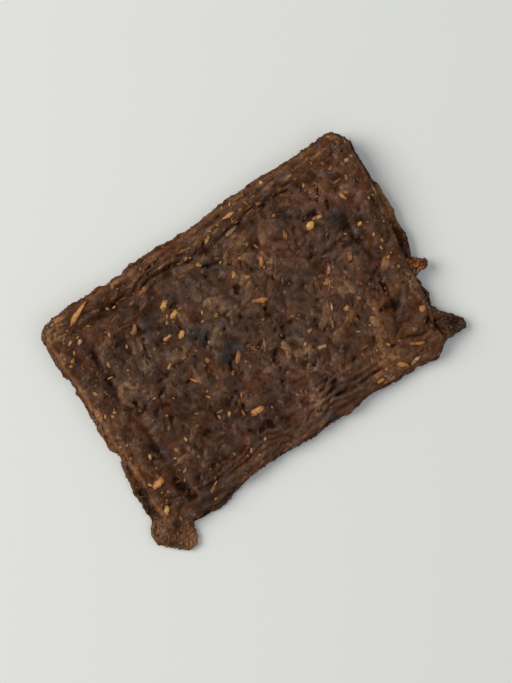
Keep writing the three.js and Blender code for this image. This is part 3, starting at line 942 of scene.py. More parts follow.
# %% Joining the skin
def slab_skin():
    """The three sheets as one closed skin: points, triangles, looks and fibres. Each underside
    border cell meets two cells of the last wall ring in three triangles."""
    faces = [grid_faces(COLUMNS, ROWS, 0)]
    upper = ring_j * (COLUMNS + 1) + ring_i
    number = top_sheet[..., 0].size
    for _ in range(RINGS):
        lower = number + np.arange(len(edge))
        faces.append(band_faces(upper, lower))
        upper = lower
        number += len(edge)
    faces.append(grid_faces(UNDER_COLUMNS, UNDER_ROWS, number, flip=True))
    under_i, under_j = border(UNDER_COLUMNS, UNDER_ROWS)
    inner = number + under_j * (UNDER_COLUMNS + 1) + under_i
    inner_next = np.roll(inner, -1)
    first, middle, last = upper[0::2], upper[1::2], np.roll(upper, -2)[0::2]
    faces.append(np.stack([first, inner, middle], 1))
    faces.append(np.stack([middle, inner, inner_next], 1))
    faces.append(np.stack([middle, inner_next, last], 1))
    points = [sheet.reshape(-1, 3) for sheet in (top_sheet, wall_sheet[1:], under_sheet)]
    looks = [sheet.reshape(-1, 4) for sheet in (top_looks, wall_looks[1:], under_looks)]
    fibre = [sheet.reshape(-1, 3) for sheet in (top_fibre, wall_fibre[1:], under_fibre)]
    return tuple(np.concatenate(part) for part in (points, faces, looks, fibre))


BOX_LOW, BOX_HIGH = (np.array(corner) / MM for corner in cad_box)


def new_piece(name, points, faces, looks, fibre, soft=True):
    """A mesh object from whole arrays: places in mm, triangles, and for each point its looks (tint,
    height, tan, char; a low height is painted shade) and its fibre (across and along in mm, own
    number).
    A point that would pass the CAD part's box is held at it."""
    mesh = bpy.data.meshes.new(name)
    places = np.clip(points + SHIFT, BOX_LOW + 0.01, BOX_HIGH - 0.01) * MM
    mesh.vertices.add(len(places))
    mesh.vertices.foreach_set("co", places.astype(np.float32).ravel())
    mesh.loops.add(faces.size)
    mesh.loops.foreach_set("vertex_index", faces.astype(np.int32).ravel())
    mesh.polygons.add(len(faces))
    mesh.polygons.foreach_set("loop_start", np.arange(0, faces.size, 3, dtype=np.int32))
    mesh.polygons.foreach_set("loop_total", np.full(len(faces), 3, dtype=np.int32))
    mesh.polygons.foreach_set("use_smooth", np.full(len(faces), soft))
    layer = mesh.color_attributes.new("strand", "FLOAT_COLOR", "POINT")
    layer.data.foreach_set("color", np.clip(looks, 0, 1).astype(np.float32).ravel())
    layer = mesh.attributes.new("warmth", "FLOAT", "POINT")
    layer.data.foreach_set("value", warm_zone(points[:, 0], points[:, 1]).astype(np.float32))
    layer = mesh.attributes.new("fibre", "FLOAT_VECTOR", "POINT")
    layer.data.foreach_set("vector", fibre.astype(np.float32).ravel())
    mesh.update(calc_edges=True)
    mesh.validate()
    piece = bpy.data.objects.new(name, mesh)
    bpy.context.scene.collection.objects.link(piece)
    print(f"{name}: {len(faces)} triangles")
    return piece


slab = new_piece("meat_slab", *slab_skin())

# %% [markdown]
# ## Tubes laid on a sheet
# Strands, grains, flecks and fine fibres are all short tubes along a line, with a radius at
# each station. A line is given in rows and columns of one of the three sheets, so it follows
# every bump, and each tube dives into the meat at both ends.


# %% Tubes
def tubes(centres, normals, radii, sides, flat=1.0):
    """Closed tubes. centres and normals: tubes by stations by 3; radii: tubes by stations.
    Returns points, triangles, fibres and the number of points of one tube.

    Each ring lies across the line: side * cos + normal * sin * flat, times the radius, and
    each end is closed to a point half a radius beyond the last ring."""
    count, stations, _ = centres.shape
    step = np.gradient(centres, axis=1)
    run = unit(step)
    side = unit(np.cross(normals, run))
    up = np.cross(run, side)
    angle = np.arange(sides) / sides * TAU
    ring = (
        side[:, :, None] * np.cos(angle)[None, None, :, None]
        + up[:, :, None] * (np.sin(angle) * flat)[None, None, :, None]
    )
    body = centres[:, :, None] + ring * radii[:, :, None, None]
    head_tip = centres[:, 0] - run[:, 0] * radii[:, :1] * 0.5
    tail_tip = centres[:, -1] + run[:, -1] * radii[:, -1:] * 0.5
    tips = np.stack([head_tip, tail_tip], axis=1)
    points = np.concatenate([body.reshape(count, -1, 3), tips], axis=1)
    size = stations * sides + 2
    k = np.arange(sides)
    n = (k + 1) % sides
    cells = []
    for station in range(stations - 1):
        a, b = station * sides, (station + 1) * sides
        cells += [np.stack([a + k, a + n, b + n], 1), np.stack([a + k, b + n, b + k], 1)]
    head, tail, last = stations * sides, stations * sides + 1, (stations - 1) * sides
    cells += [np.stack([head + 0 * k, n, k], 1), np.stack([tail + 0 * k, last + k, last + n], 1)]
    faces = (np.arange(count) * size)[:, None, None] + np.concatenate(cells)[None]
    travelled = np.cumsum(np.linalg.norm(step, axis=-1), axis=1)
    across = radii[:, :, None] * np.cos(angle)
    along = np.broadcast_to(travelled[:, :, None], across.shape)
    own = np.broadcast_to(own_number(count)[:, None, None], across.shape)
    fibre = np.stack([across, along, own], axis=-1).reshape(count, -1, 3)
    fibre = np.concatenate([fibre, fibre[:, :1], fibre[:, -1:]], axis=1)
    return points.reshape(-1, 3), faces.reshape(-1, 3), fibre.reshape(-1, 3), size


def with_normals(sheet, turn):
    """A sheet with its outward normals beside its points: the cross product of the steps
    along rows and columns, taken from a copy that is blurred over 5 cells."""
    soft = np.stack([blur(sheet[..., k], 2) for k in range(3)], axis=-1)
    normal = unit(np.cross(np.gradient(soft, axis=0), np.gradient(soft, axis=1))) * turn
    return np.concatenate([sheet, normal], axis=-1)


def sheet_at(sheet, row, column):
    """Point and normal of a sheet at fractional row and column numbers: the four nearest
    points, weighted by nearness."""
    row = np.clip(row, 0, sheet.shape[0] - 1.001)
    column = np.clip(column, 0, sheet.shape[1] - 1.001)
    a, b = row.astype(int), column.astype(int)
    fa, fb = (row - a)[..., None], (column - b)[..., None]
    near = sheet[a, b] * (1 - fa) + sheet[a + 1, b] * fa
    far = sheet[a, b + 1] * (1 - fa) + sheet[a + 1, b + 1] * fa
    both = near * (1 - fb) + far * fb
    return both[..., :3], unit(both[..., 3:])


def lay(sheet, row, column, radius, lift, tint, zone, char, sides=4, flat=0.9):
    """Strands on a sheet. The radius follows (half sine)^0.6 along the strand, and the middle
    stands at its lift, in radii, while the ends are 0.9 radii lower."""
    centres, normals = sheet_at(sheet, row, column)
    stations = row.shape[1]
    bow = np.sin((np.arange(stations) + 0.5) / stations * math.pi)
    radii = thick_then_thin(radius, stations, 0.3)
    centres = centres + normals * ((lift[:, None] + 0.9 * (bow - 1)) * radii)[..., None]
    points, faces, fibre, size = tubes(centres, normals, radii, sides, flat)
    # Painted shade: the height channel is lower on the under side of each tube than on its top, so the
    # material darkens the under side.
    rise = np.concatenate([np.tile(np.sin(np.arange(sides) / sides * TAU), stations), [0, 0]])
    shade = np.tile(0.55 + 0.12 * rise, len(radius))
    looks = np.stack([np.repeat(values, size) for values in (tint, zone, char)], axis=1)
    looks = np.insert(looks, 1, shade, axis=1)
    return points, faces, looks, fibre


top_ground = with_normals(top_sheet, -1)
WRAP = 20
wall_round = np.concatenate([wall_sheet[:, -WRAP:], wall_sheet, wall_sheet[:, :WRAP]], axis=1)
wall_ground = with_normals(wall_round, 1)


def top_cells(px, py, across=COLUMNS, deep=ROWS):
    """Rows and columns of the upper face for places in mm across the slab."""
    column = np.interp(px / HALF_X, grid_line(across), np.arange(across + 1))
    row = np.interp(py / HALF_Y, grid_line(deep), np.arange(deep + 1))
    return row, column


# %% [markdown]
# ## Strands on the upper face
# Some strands lie on the pressed face rather than in it. They are flattened, and sink in at
# both ends. Their tints are those of the meat under them.


# %% Lean strands
def starts_on_top(count, on_rims, rng):
    """Places over the upper face. A share of them keeps to 5 mm beside the two ends and the
    back: for those one coordinate is drawn near its side."""
    px, py = rng.uniform(-HALF_X, HALF_X, count), rng.uniform(-HALF_Y, HALF_Y, count)
    side = np.where(rng.random(count) < on_rims, rng.integers(0, 3, count), 3)
    near = rng.uniform(0.4, 5.0, count)
    px = np.where(side == 0, near - HALF_X, np.where(side == 1, HALF_X - near, px))
    return px, np.where(side == 2, HALF_Y - near, py)


def scatter_on_top(count, stations, pace, rng, waver=0.5, on_rims=0.0):
    """Lines that start anywhere on the upper face and follow the flow of the mince."""
    start = starts_on_top(count, on_rims, rng)
    pace = pace * (1 + beside(*start)[1])
    px, py = strand_lines(start, flow(*start, rng), stations, pace, rng, waver)
    return np.clip(px, 0.3 - HALF_X, HALF_X - 0.3), np.clip(py, 0.3 - HALF_Y, HALF_Y - 0.3)


def zones_on_top(px, py):
    """Broad tone with its painted light and shade, tan of the rim and charring at the middle of each
    line.
    """
    middle = px.shape[1] // 2
    x, y, inside = place(px[:, middle] / HALF_X, py[:, middle] / HALF_Y)
    return patches(x, y, BROAD_TONES_LIGHT_AND_SHADE), rim_warmth(x, y, inside), charring(x, y)


def piece_on_top(name, px, py, radius, lift, tints, rng, **form):
    """One piece of strands along known lines on the upper face: radii and lifts are drawn between two
    numbers, tints about a middle, and the face's own tones, with their painted light and shade, are
    added."""
    radius, lift = rng.uniform(*radius, len(px)), rng.uniform(*lift, len(px))
    shift, tan, char = zones_on_top(px, py)
    tint = np.clip(rng.normal(*tints, len(px)) + shift, 0, 1)
    cells = top_cells(px, py)
    return new_piece(name, *lay(top_ground, *cells, radius, lift, tint, tan, char, **form))


def strands_on_top(name, count, stations, pace, radius, lift, tints, rng, on_rims=0.0, **form):
    """One piece of strands over the whole upper face; each range is a pair of numbers."""
    px, py = scatter_on_top(count, stations, rng.uniform(*pace, count), rng, on_rims=on_rims)
    return piece_on_top(name, px, py, radius, lift, tints, rng, **form)


rng = np.random.default_rng(52)
# Ranges of the pace, the radius and the lift, and the tint's middle and spread.
ranges = (0.3, 0.7), (0.2, 0.42), (-0.75, -0.15), (0.5, 0.15)
lean = strands_on_top("lean_strands", 650, 7, *ranges, rng, flat=0.55)

# %% [markdown]
# The mince also left short fat grains, about twice as long as they are thick, that stand a
# little higher. A share of them is kept for the rims, which the press didn't flatten.

# %% Grains of mince
form = {"on_rims": 0.3, "sides": 6, "flat": 0.5}
ranges = (0.2, 0.5), (0.3, 0.65), (-0.65, -0.15), (0.52, 0.18)
grains = strands_on_top("mince_grains", 2000, 5, *ranges, rng, **form)

# %% [markdown]
# ## Strands on the wall and the underside
# The cut ends are ragged: short strands stick out of them. On the underside the strands are
# pressed flat against the floor.


# %% Wall strands
# One ring down the wall and one point round it, in mm, and both where a tag stretches it.
RING_STEP, POINT_STEP = 0.22, 0.25
TAG_RING_STEP, TAG_POINT_STEP = 0.3, 0.6


def wall_lines(row, column, heading, stations, pace, rng, waver, steps=(RING_STEP, POINT_STEP)):
    """Rows and columns of lines on the wall, from starts in rings and in points round it."""
    across, down = strand_lines((column * 0, row * 0), heading, stations, pace, rng, waver)
    return row[:, None] + down / steps[0], WRAP + column[:, None] + across / steps[1]


def piece_on_wall(name, row, column, radius, lift, tints, rng, **form):
    """One piece of strands along known lines on the wall: radii and lifts are drawn between two
    numbers, tints about a middle, and the wall's own tones and its painted light and shade are added."""
    count, stations = row.shape
    radius, lift = rng.uniform(*radius, count), rng.uniform(*lift, count)
    tint = np.clip(rng.normal(*tints, count), 0, 1)
    beside_edge = edge[(column[:, 0] - WRAP).astype(int) % len(edge)]
    at = (beside_edge[:, 0], beside_edge[:, 1], row[:, stations // 2] / RINGS)
    tint = np.clip(tint + wall_light_and_shade(*at), 0, 1)
    laid = lay(wall_ground, row, column, radius, lift, tint, *wall_tones(*at), **form)
    return new_piece(name, *laid)


def strands_on_wall(name, count, stations, pace, radius, lift, tints, band, rng, **form):
    """One piece of strands round the whole wall, between two shares of its height."""
    column = rng.uniform(0, len(edge), count)
    row = rng.uniform(*band, count) * RINGS
    pace = rng.uniform(*pace, count)
    heading = rng.normal(0, 0.4, count)
    row, column = wall_lines(row, column, heading, stations, pace, rng, 0.6)
    return piece_on_wall(name, row, column, radius, lift, tints, rng, **form)


rng = np.random.default_rng(54)
ranges = (0.2, 0.6), (0.14, 0.36), (-0.6, 0.1), (0.5, 0.2), (0.04, 0.96)
wall = strands_on_wall("wall_strands", 1800, 6, *ranges, rng)

# %% [markdown]
# The lips of the cut crumbled, so their outline is beaded with crumbs about a millimetre
# across. They are laid like the strands, with three stations each.

# %% Crumbs on the lips
form = {"sides": 5, "flat": 0.75}
ranges = (0.15, 0.35), (0.28, 0.6), (-0.6, 0.0), (0.5, 0.22), (0.0, 0.85)
crumbs = strands_on_wall("wall_crumbs", 1500, 3, *ranges, rng, **form)

# %% [markdown]
# The torn tags were pulled out while the meat was soft, so their ends are frayed into short
# thick shreds. The nub's shreds are a piece of their own, because its meat is redder.


# %% Shreds on the torn tags
def near_pulls(pulls, count, rng):
    """Columns of the wall, drawn from those that the given pulls move at least a third."""
    moved = np.max([pull_amount(edge[:, 0], edge[:, 1], pull) for pull in pulls], axis=0)
    return rng.choice(np.flatnonzero(moved > 0.33), count) + rng.random(count)


def shreds(name, pulls, count, radius, lift, tints, rng):
    """Short thick shreds that round off torn tags, laid like the strands of the wall but
    with small steps, because the wall is stretched there."""
    column, row = near_pulls(pulls, count, rng), rng.uniform(0.05, 0.85, count) * RINGS
    heading, pace = rng.normal(0, 0.8, count), np.full(count, 0.25)
    steps = (TAG_RING_STEP, TAG_POINT_STEP)
    row, column = wall_lines(row, column, heading, 4, pace, rng, 0.3, steps)
    return piece_on_wall(name, row, column, radius, lift, tints, rng, sides=6, flat=0.8)


rng = np.random.default_rng(57)
TORN, NUB = PULLS[:1] + PULLS[2:], PULLS[1:2]
tag_shreds = shreds("tag_shreds", TORN, 420, (0.2, 0.5), (-0.5, 0.15), (0.5, 0.22), rng)
nub_shreds = shreds("nub_shreds", NUB, 40, (0.3, 0.6), (-0.3, 0.2), (0.5, 0.25), rng)

# %% [markdown]
# The underside was pressed against the rack, so its strands follow no bumps: each is a tube
# flattened to less than half its height, with its flat side down.

# %% Underside strands
rng = np.random.default_rng(56)
UNDER = 2600
px, py = scatter_on_top(UNDER, 6, rng.uniform(0.2, 0.6, UNDER), rng)
s, t = px * 0.93 / HALF_X, py * 0.91 / HALF_Y
flat_radii = thick_then_thin(rng.uniform(0.2, 0.5, UNDER), 6, 0.4)
height = under_height(s, t) + 0.45 * flat_radii + rng.uniform(0, 0.12, (UNDER, 1))
normals = np.broadcast_to([0.0, 0.0, -1.0], (UNDER, 6, 3))
centres = np.stack([*plain_place(s, t), height], -1)
points, faces, fibre, size = tubes(centres, normals, flat_radii, 4, flat=0.45)
tint = np.repeat(np.clip(rng.normal(0.5, 0.2, UNDER), 0, 1), size)
under = new_piece(
    "underside_strands", points, faces, np.stack([tint, 0 * tint + 0.55, 0 * tint, 0 * tint], 1), fibre
)

# %% [markdown]
# ## Sinew, fibres and flecks
# Short tan bits of sinew catch the light all over the face, half of them on the rims. They
# are laid like the grains, but thinner, and have a paler skin of their own.

# %% Sinew
rng = np.random.default_rng(58)
form = {"on_rims": 0.5, "sides": 6, "flat": 0.45}
ranges = (0.12, 0.35), (0.22, 0.4), (-0.5, -0.05), (0.3, 0.25)
sinew = strands_on_top("sinew_strands", 260, 4, *ranges, rng, **form)

# %% [markdown]
# Along the back the press dragged flat shreds of paler meat with it. They give that rim the
# long light lines that the field doesn't have.


# %% Pale shreds beside the back
def pale_shreds(count, rng):
    """Flat pinkish shreds that lie along the back side, between 1 and 9 mm in from it."""
    start = rng.uniform(-30, 33, count), HALF_Y - 1 - 8 * rng.random(count) ** 1.3
    heading, pace = rng.normal(0, 0.2, count), rng.uniform(0.3, 0.7, count)
    px, py = strand_lines(start, heading, 6, pace, rng)
    px, py = np.clip(px, -35, 35), np.clip(py, -24, 24)
    ranges = (0.25, 0.5), (-0.4, 0.1), (0.25, 0.22)
    return piece_on_top("pale_shreds", px, py, *ranges, rng, sides=6, flat=0.5)


shreds_at_back = pale_shreds(70, np.random.default_rng(66))

# %% [markdown]
# Muscle fibres as fine as hair came loose where the knife went through, and stand off the
# lips by less than a millimetre. Each is a three-sided tube that thins to its tip.

# %% Fine fibres
FIBRES = 150
column = rng.uniform(0, len(edge), FIBRES)
row = rng.uniform(0, 0.9, FIBRES) * RINGS
heading, pace = rng.normal(0, 0.5, FIBRES), rng.uniform(0.1, 0.35, FIBRES)
row, column = wall_lines(row, column, heading, 6, pace, rng, 0.3)
centres, normals = sheet_at(wall_ground, row, column)
reach = np.linspace(-0.1, 1, 6) * rng.uniform(0.2, 0.9, (FIBRES, 1))
centres = centres + normals * reach[..., None]
radii = np.repeat(rng.uniform(0.035, 0.07, (FIBRES, 1)), 6, axis=1) * np.linspace(1, 0.5, 6)
points, faces, fibre, size = tubes(centres, normals + 0.3, radii, 3)
tint = np.repeat(rng.random(FIBRES), size)
looks = np.stack([tint, 0 * tint + 0.6, 0 * tint + 0.2, 0 * tint], axis=1)
fibres = new_piece("fine_fibres", points, faces, looks, fibre)

# %% [markdown]
# Flecks of gristle, cartilage and skin are hard, angular chips that the press pushed in flush.
# They are what the eye finds first on the dark meat, so the largest are placed one by one, and
# the many small ones are scattered with a fixed seed. Each kind is one piece.

# %% Listed flecks
# x, y, length, width, turn in degrees, brightness
GOLD_FLECKS = [
    (-13, 14.7, 2.3, 1.3, 35, 0.66),
    (-12.4, 12.2, 2.2, 1, 25, 0.68),
    (-13.4, 8, 1.9, 1.1, 35, 0.66),
    (-20.9, 14, 1.9, 1.1, 40, 0.4),
    (-16.1, 9.1, 2, 0.9, 5, 0.5),
    (-2.8, 17.5, 1.5, 0.8, -40, 0.4),
    (1.6, 20.7, 1.9, 1, 35, 0.55),
    (7.7, 22.5, 2.6, 0.9, 0, 0.6),
    (2.1, 11.9, 1.8, 1.1, 50, 0.4),
    (4.1, 10.2, 1.5, 0.8, -40, 0.4),
    (20.7, 11.6, 1.9, 1.6, 30, 0.85),
    (15.3, 13.1, 2.2, 0.8, 70, 0.35),
    (23.2, 12, 1.5, 1.1, 0, 0.4),
    (-5.4, 7.3, 1.4, 1, 20, 0.2),
    (22.1, 22.1, 2.2, 0.8, 10, 0.4),
    (-34.3, 15.7, 1.4, 0.9, 30, 0.5),
    (-35.4, -19.2, 1.7, 1.4, 60, 0.72),
    (30.5, -15.1, 1.7, 1.3, 10, 0.55),
    (17.6, -6.4, 1.4, 1.2, 0, 0.4),
    (15.3, -22.5, 1.9, 1, 0, 0.5),
    (17.6, -21.2, 1.3, 0.9, 40, 0.4),
    (-11.9, 0.8, 1.3, 0.9, 60, 0.3),
]
CREAM_FLECKS = [
    (-31.2, 18.1, 1.3, 1, 20, 0.6),
    (15.2, -4.4, 1.8, 0.6, 60, 0.6),
    (9, -9.9, 2.1, 0.8, -15, 0.45),
    (35.4, 10.3, 2.6, 0.6, 72, 0.4),
    (-8.4, 7.8, 0.9, 0.6, 0, 0.2),
    (6.4, 19.4, 3.6, 0.8, 12, 0.25),
    (33.9, 18.5, 1.2, 1, 0, 0.4),
    (24.0, -23.0, 3.0, 1.1, 14, 0.62),
]
ORANGE_FLECKS = [
    (-28.4, 22.8, 5.6, 1.1, 25, 0.76),
    (-9.1, -13.4, 3, 1.6, -5, 0.7),
    (-33.8, -13.7, 2.8, 1.6, 15, 0.6),
    (23.8, 2, 2.2, 1.5, 60, 0.3),
    (29.4, 12.9, 1.9, 1.1, -70, 0.6),
    (-15, 19.3, 3, 0.9, 8, 0.15),
    (17.3, 0.3, 1.8, 1.4, 20, 0.4),
    (18.7, 2.3, 2.8, 0.9, 50, 0.2),
    (8.3, 11.2, 2.1, 1, 60, 0.5),
    (3.9, 4.8, 3.3, 1.3, -25, 0.45),
    (26, -20.3, 4.4, 0.9, -30, 0.35),
    (34.5, -6.9, 1.6, 1.1, -20, 0.15),
    (-6.6, -2, 3.2, 0.9, 50, 0.3),
    (-28, -14.6, 1.4, 0.9, 30, 0.15),
    (8.6, -5.9, 1.5, 1, 10, 0.3),
    (31, -12.3, 2.8, 1.2, 80, 0.3),
    (20.7, -22.4, 2.9, 1.2, -38, 0.62),
]


# %% Flecks
FLECK_STATIONS, FLECK_SIDES = 6, 8


def spread(x, y):
    """Back from the plan to mm across the slab, by eight steps that each close the gap."""
    px, py = x.copy(), y.copy()
    for _ in range(8):
        gx, gy, _inside = place(px / HALF_X, py / HALF_Y)
        px = np.clip(px + x - gx, 0.2 - HALF_X, HALF_X - 0.2)
        py = np.clip(py + y - gy, 0.2 - HALF_Y, HALF_Y - 0.2)
    return px, py


def fleck_skin(listed, scattered, sizes, seed):
    """Flecks as short flat eight-sided chips, sunk in the face to half their thickness. Listed
    ones come first, then scattered ones with sizes drawn between two numbers. A fleck's crown
    runs from 1 on its top to 0 at its rim, and its material fades to meat there."""
    rng = np.random.default_rng(seed)
    long_low, long_high, slim_low, slim_high = sizes
    length = rng.uniform(long_low, long_high, scattered)
    slim = np.minimum(length * 0.7, rng.uniform(slim_low, slim_high, scattered))
    px, py = starts_on_top(scattered, 0.4, rng)
    at_x, at_y, _inside = place(px / HALF_X, py / HALF_Y)
    turn, bright = rng.uniform(0, 180, scattered), 0.1 + 0.55 * rng.random(scattered)
    more = np.stack([at_x, at_y, length, slim, turn, bright], axis=1)
    x, y, length, width, turn, bright = np.concatenate([np.array(listed, float), more]).T
    share = np.linspace(-0.5, 0.5, FLECK_STATIONS)
    angle = np.radians(turn)
    along = length[:, None] * share
    aside = (length * rng.normal(0, 0.04, len(x)))[:, None] * (1 - 4 * share**2)
    lx = x[:, None] + along * np.cos(angle)[:, None] - aside * np.sin(angle)[:, None]
    ly = y[:, None] + along * np.sin(angle)[:, None] + aside * np.cos(angle)[:, None]
    centres, normals = sheet_at(top_ground, *top_cells(*spread(lx, ly)))
    normals = unit(normals + rng.normal(0, 0.15, (len(x), 1, 3)))
    profile = (1 - np.abs(2 * share) ** 3 * 0.8) ** 0.5
    radii = width[:, None] / 2 * profile * (1 + 0.6 * (rng.random((len(x), FLECK_STATIONS)) - 0.5))
    level = centres[..., 2].mean(axis=1, keepdims=True)
    centres[..., 2] = 0.4 * level + 0.6 * centres[..., 2] + 0.06
    points, faces, fibre, size = tubes(centres, normals, radii, FLECK_SIDES, flat=0.26)
    points += rng.normal(0, 0.06, points.shape) * np.repeat(width, size)[:, None] * (1, 1, 0.5)
    bow = np.repeat(1 - 0.8 * (2 * share) ** 2, FLECK_SIDES)
    rise = np.tile(np.sin(np.arange(FLECK_SIDES) / FLECK_SIDES * TAU), FLECK_STATIONS)
    crown = np.tile(np.clip(np.concatenate([rise * bow, [0, 0]]), 0, 1), len(x))
    tone = np.repeat(bright, size)
    return points, faces, np.stack([tone, crown, 0 * tone, 0 * tone], axis=1), fibre


gold = new_piece("gold_flecks", *fleck_skin(GOLD_FLECKS, 80, (0.45, 1.2, 0.35, 0.7), 61))
cream = new_piece("cream_flecks", *fleck_skin(CREAM_FLECKS, 10, (0.4, 0.9, 0.3, 0.5), 62))
orange = new_piece("orange_flecks", *fleck_skin(ORANGE_FLECKS, 50, (0.6, 1.6, 0.4, 0.8), 63))

# %% [markdown]
# ## Materials
# Colours are written as they look on a screen and turned to linear light by one function.


# %% Shader tools
def srgb(code):
    """Screen colour, six hex digits, to linear light: ((c + 0.055) / 1.055)^2.4."""
    values = [int(code[k : k + 2], 16) / 255 for k in (0, 2, 4)]
    linear = [v / 12.92 if v <= 0.04045 else ((v + 0.055) / 1.055) ** 2.4 for v in values]
    return (*linear, 1.0)


def add(tree, kind, settings=None, inputs=None):
    """Add one shader node, set its settings, and fill its sockets with numbers or links."""
    node = tree.nodes.new(kind)
    for key, value in (settings or {}).items():
        setattr(node, key, value)
    for key, value in (inputs or {}).items():
        if isinstance(value, bpy.types.NodeSocket):
            tree.links.new(value, node.inputs[key])
        else:
            node.inputs[key].default_value = value
    return node


def ramp(tree, factor, stops):
    """A colour ramp from a list of (place, colour)."""
    node = add(tree, "ShaderNodeValToRGB", None, {"Fac": factor})
    band = node.color_ramp
    while len(band.elements) < len(stops):
        band.elements.new(0.5)
    for element, (place_on_ramp, colour) in zip(band.elements, stops):
        element.position = place_on_ramp
        element.color = srgb(colour)
    return node.outputs["Color"]


def mix(tree, kind, factor, a, b):
    """Mix two colours by a factor, in the given way."""
    settings = {"data_type": "RGBA", "blend_type": kind}
    return add(tree, "ShaderNodeMix", settings, {0: factor, 6: a, 7: b}).outputs[2]


def level(tree, value, low, high, to_low, to_high):
    """Move a value from one range to another, held at both ends."""
    ends = {"From Min": low, "From Max": high, "To Min": to_low, "To Max": to_high}
    return add(tree, "ShaderNodeMapRange", None, {"Value": value, **ends}).outputs["Result"]


def total(tree, first, *rest):
    """Sum of several values, two at a time."""
    for value in rest:
        first = add(tree, "ShaderNodeMath", {"operation": "ADD"}, {0: first, 1: value}).outputs[0]
    return first


def product(tree, first, second):
    """Product of two values."""
    return add(tree, "ShaderNodeMath", {"operation": "MULTIPLY"}, {0: first, 1: second}).outputs[0]


def noise(tree, where, size_mm, detail=2.0, roughness=0.5):
    """Noise with features of about that size in mm: scale is 1 over the size in metres."""
    sockets = {"Vector": where, "Scale": 1 / (size_mm * MM), "Detail": detail, "Roughness": roughness}
    return add(tree, "ShaderNodeTexNoise", None, sockets).outputs["Fac"]


def raised(tree, height, depth_mm, strength):
    """Normal of a bump whose full height is that many mm."""
    sockets = {"Strength": strength, "Distance": depth_mm * MM, "Height": height}
    return add(tree, "ShaderNodeBump", None, sockets).outputs[0]


def new_material(name):
    """A material with one principled shader. Returns it with its tree, shader and place."""
    material = bpy.data.materials.new(name)
    material.use_nodes = True
    tree = material.node_tree
    shader = tree.nodes["Principled BSDF"]
    where = add(tree, "ShaderNodeTexCoord").outputs["Object"]
    return material, tree, shader, where


# %% [markdown]
# ### Dried minced ostrich meat
# Lean dark meat, salted and dried slowly. It is red-brown where grains stand up and bluish black where
# it was charred against the rack; in the gaps painted shade makes it nearly black. Each grain keeps the
# muscle's fibres, 0.2 mm apart. Salt and a trace of fat leave a broken, waxy sheen rather than a wet
# one: the gloss comes and goes from spot to spot.


# %% Dried meat
# What the brown is multiplied by, from the coolest zone to the warmest.
WARMTH_HUES = [(0.0, "e4eef4"), (PLAIN_WARMTH, "fff5f4"), (1.0, "ffe3c0")]


def meat_material(name, stops):
    """Minced meat: tone from the strand's own tint, its fibres and a fine grain, then warmth at the
    rims, charred and red patches, and painted shade that darkens the gaps."""
    material, tree, shader, where = new_material(name)
    strand = add(tree, "ShaderNodeVertexColor", {"layer_name": "strand"})
    split = add(tree, "ShaderNodeSeparateColor", None, {"Color": strand.outputs["Color"]})
    tint, height, tan = (split.outputs[k] for k in range(3))
    own = add(tree, "ShaderNodeAttribute", {"attribute_name": "fibre"}).outputs["Vector"]
    stretched = add(
        tree, "ShaderNodeVectorMath", {"operation": "MULTIPLY"}, {0: own, 1: (1 / 0.2, 1 / 1.6, 1.0)}
    ).outputs["Vector"]
    fibre = add(
        tree, "ShaderNodeTexNoise", None, {"Vector": stretched, "Scale": 1.0, "Detail": 2.0}
    ).outputs["Fac"]
    # Fine grain, then swells of 5 and 14 mm, where the meat dried faster or slower.
    grain = noise(tree, where, 0.6, 3.0, 0.6)
    tone = total(
        tree,
        tint,
        level(tree, fibre, 0.3, 0.7, -0.09, 0.09),
        level(tree, grain, 0.3, 0.7, -0.12, 0.12),
        level(tree, noise(tree, where, 5.0, 2.0), 0.35, 0.65, -0.15, 0.15),
        level(tree, noise(tree, where, 14.0, 1.0), 0.35, 0.65, -0.14, 0.14),
    )
    colour = ramp(tree, tone, stops)
    # Red spots, the tan of the rims, and then the warm and cool zones that tint it all.
    red = level(tree, noise(tree, where, 4.0, 2.0), 0.52, 0.68, 0.0, 0.4)
    colour = mix(tree, "MIX", red, colour, srgb("5e3019"))
    colour = mix(tree, "MIX", tan, colour, srgb("936c45"))
    zone = add(tree, "ShaderNodeAttribute", {"attribute_name": "warmth"}).outputs["Fac"]
    colour = mix(tree, "MULTIPLY", 1.0, colour, ramp(tree, zone, WARMTH_HUES))
    # Char in broad weak patches and in the listed strong ones, then painted shade: where the height
    # channel is low, in gaps, folds and under strands, the colour is darkened.
    charred = level(tree, noise(tree, where, 7.0, 3.0), 0.56, 0.7, 0.0, 0.3)
    colour = mix(tree, "MIX", charred, colour, srgb("28201d"))
    colour = mix(tree, "MIX", strand.outputs["Alpha"], colour, srgb("2a2726"))
    gap = level(tree, height, 0.1, 0.5, 0.85, 0.0)
    colour = mix(tree, "MULTIPLY", gap, colour, srgb("4f3020"))
    # The sheen comes in spots of 1.6 mm, and only where the meat lies open to the light.
    patch = noise(tree, where, 1.6, 2.0)
    rough = level(tree, patch, 0.35, 0.65, 0.48, 0.8)
    gloss = level(tree, patch, 0.35, 0.6, 0.46, 0.08)
    open_to_light = level(tree, height, 0.3, 0.6, 0.2, 1.0)
    gloss = product(tree, gloss, open_to_light)
    grit = noise(tree, where, 0.9, 5.0, 0.65), noise(tree, where, 0.3, 2.0, 0.6)
    bump = raised(tree, total(tree, fibre, *grit), 0.12, 0.7)
    joined = {
        "Base Color": colour,
        "Roughness": rough,
        "Specular IOR Level": gloss,
        "Normal": bump,
    }
    for socket, value in joined.items():
        tree.links.new(value, shader.inputs[socket])
    return material


meat = meat_material(
    "dried_minced_meat",
    [
        (0.0, "29190e"),
        (0.28, "3a2517"),
        (0.5, "493121"),
        (0.66, "573d2b"),
        (0.82, "6a4d37"),
        (1.0, "8a6c49"),
    ],
)

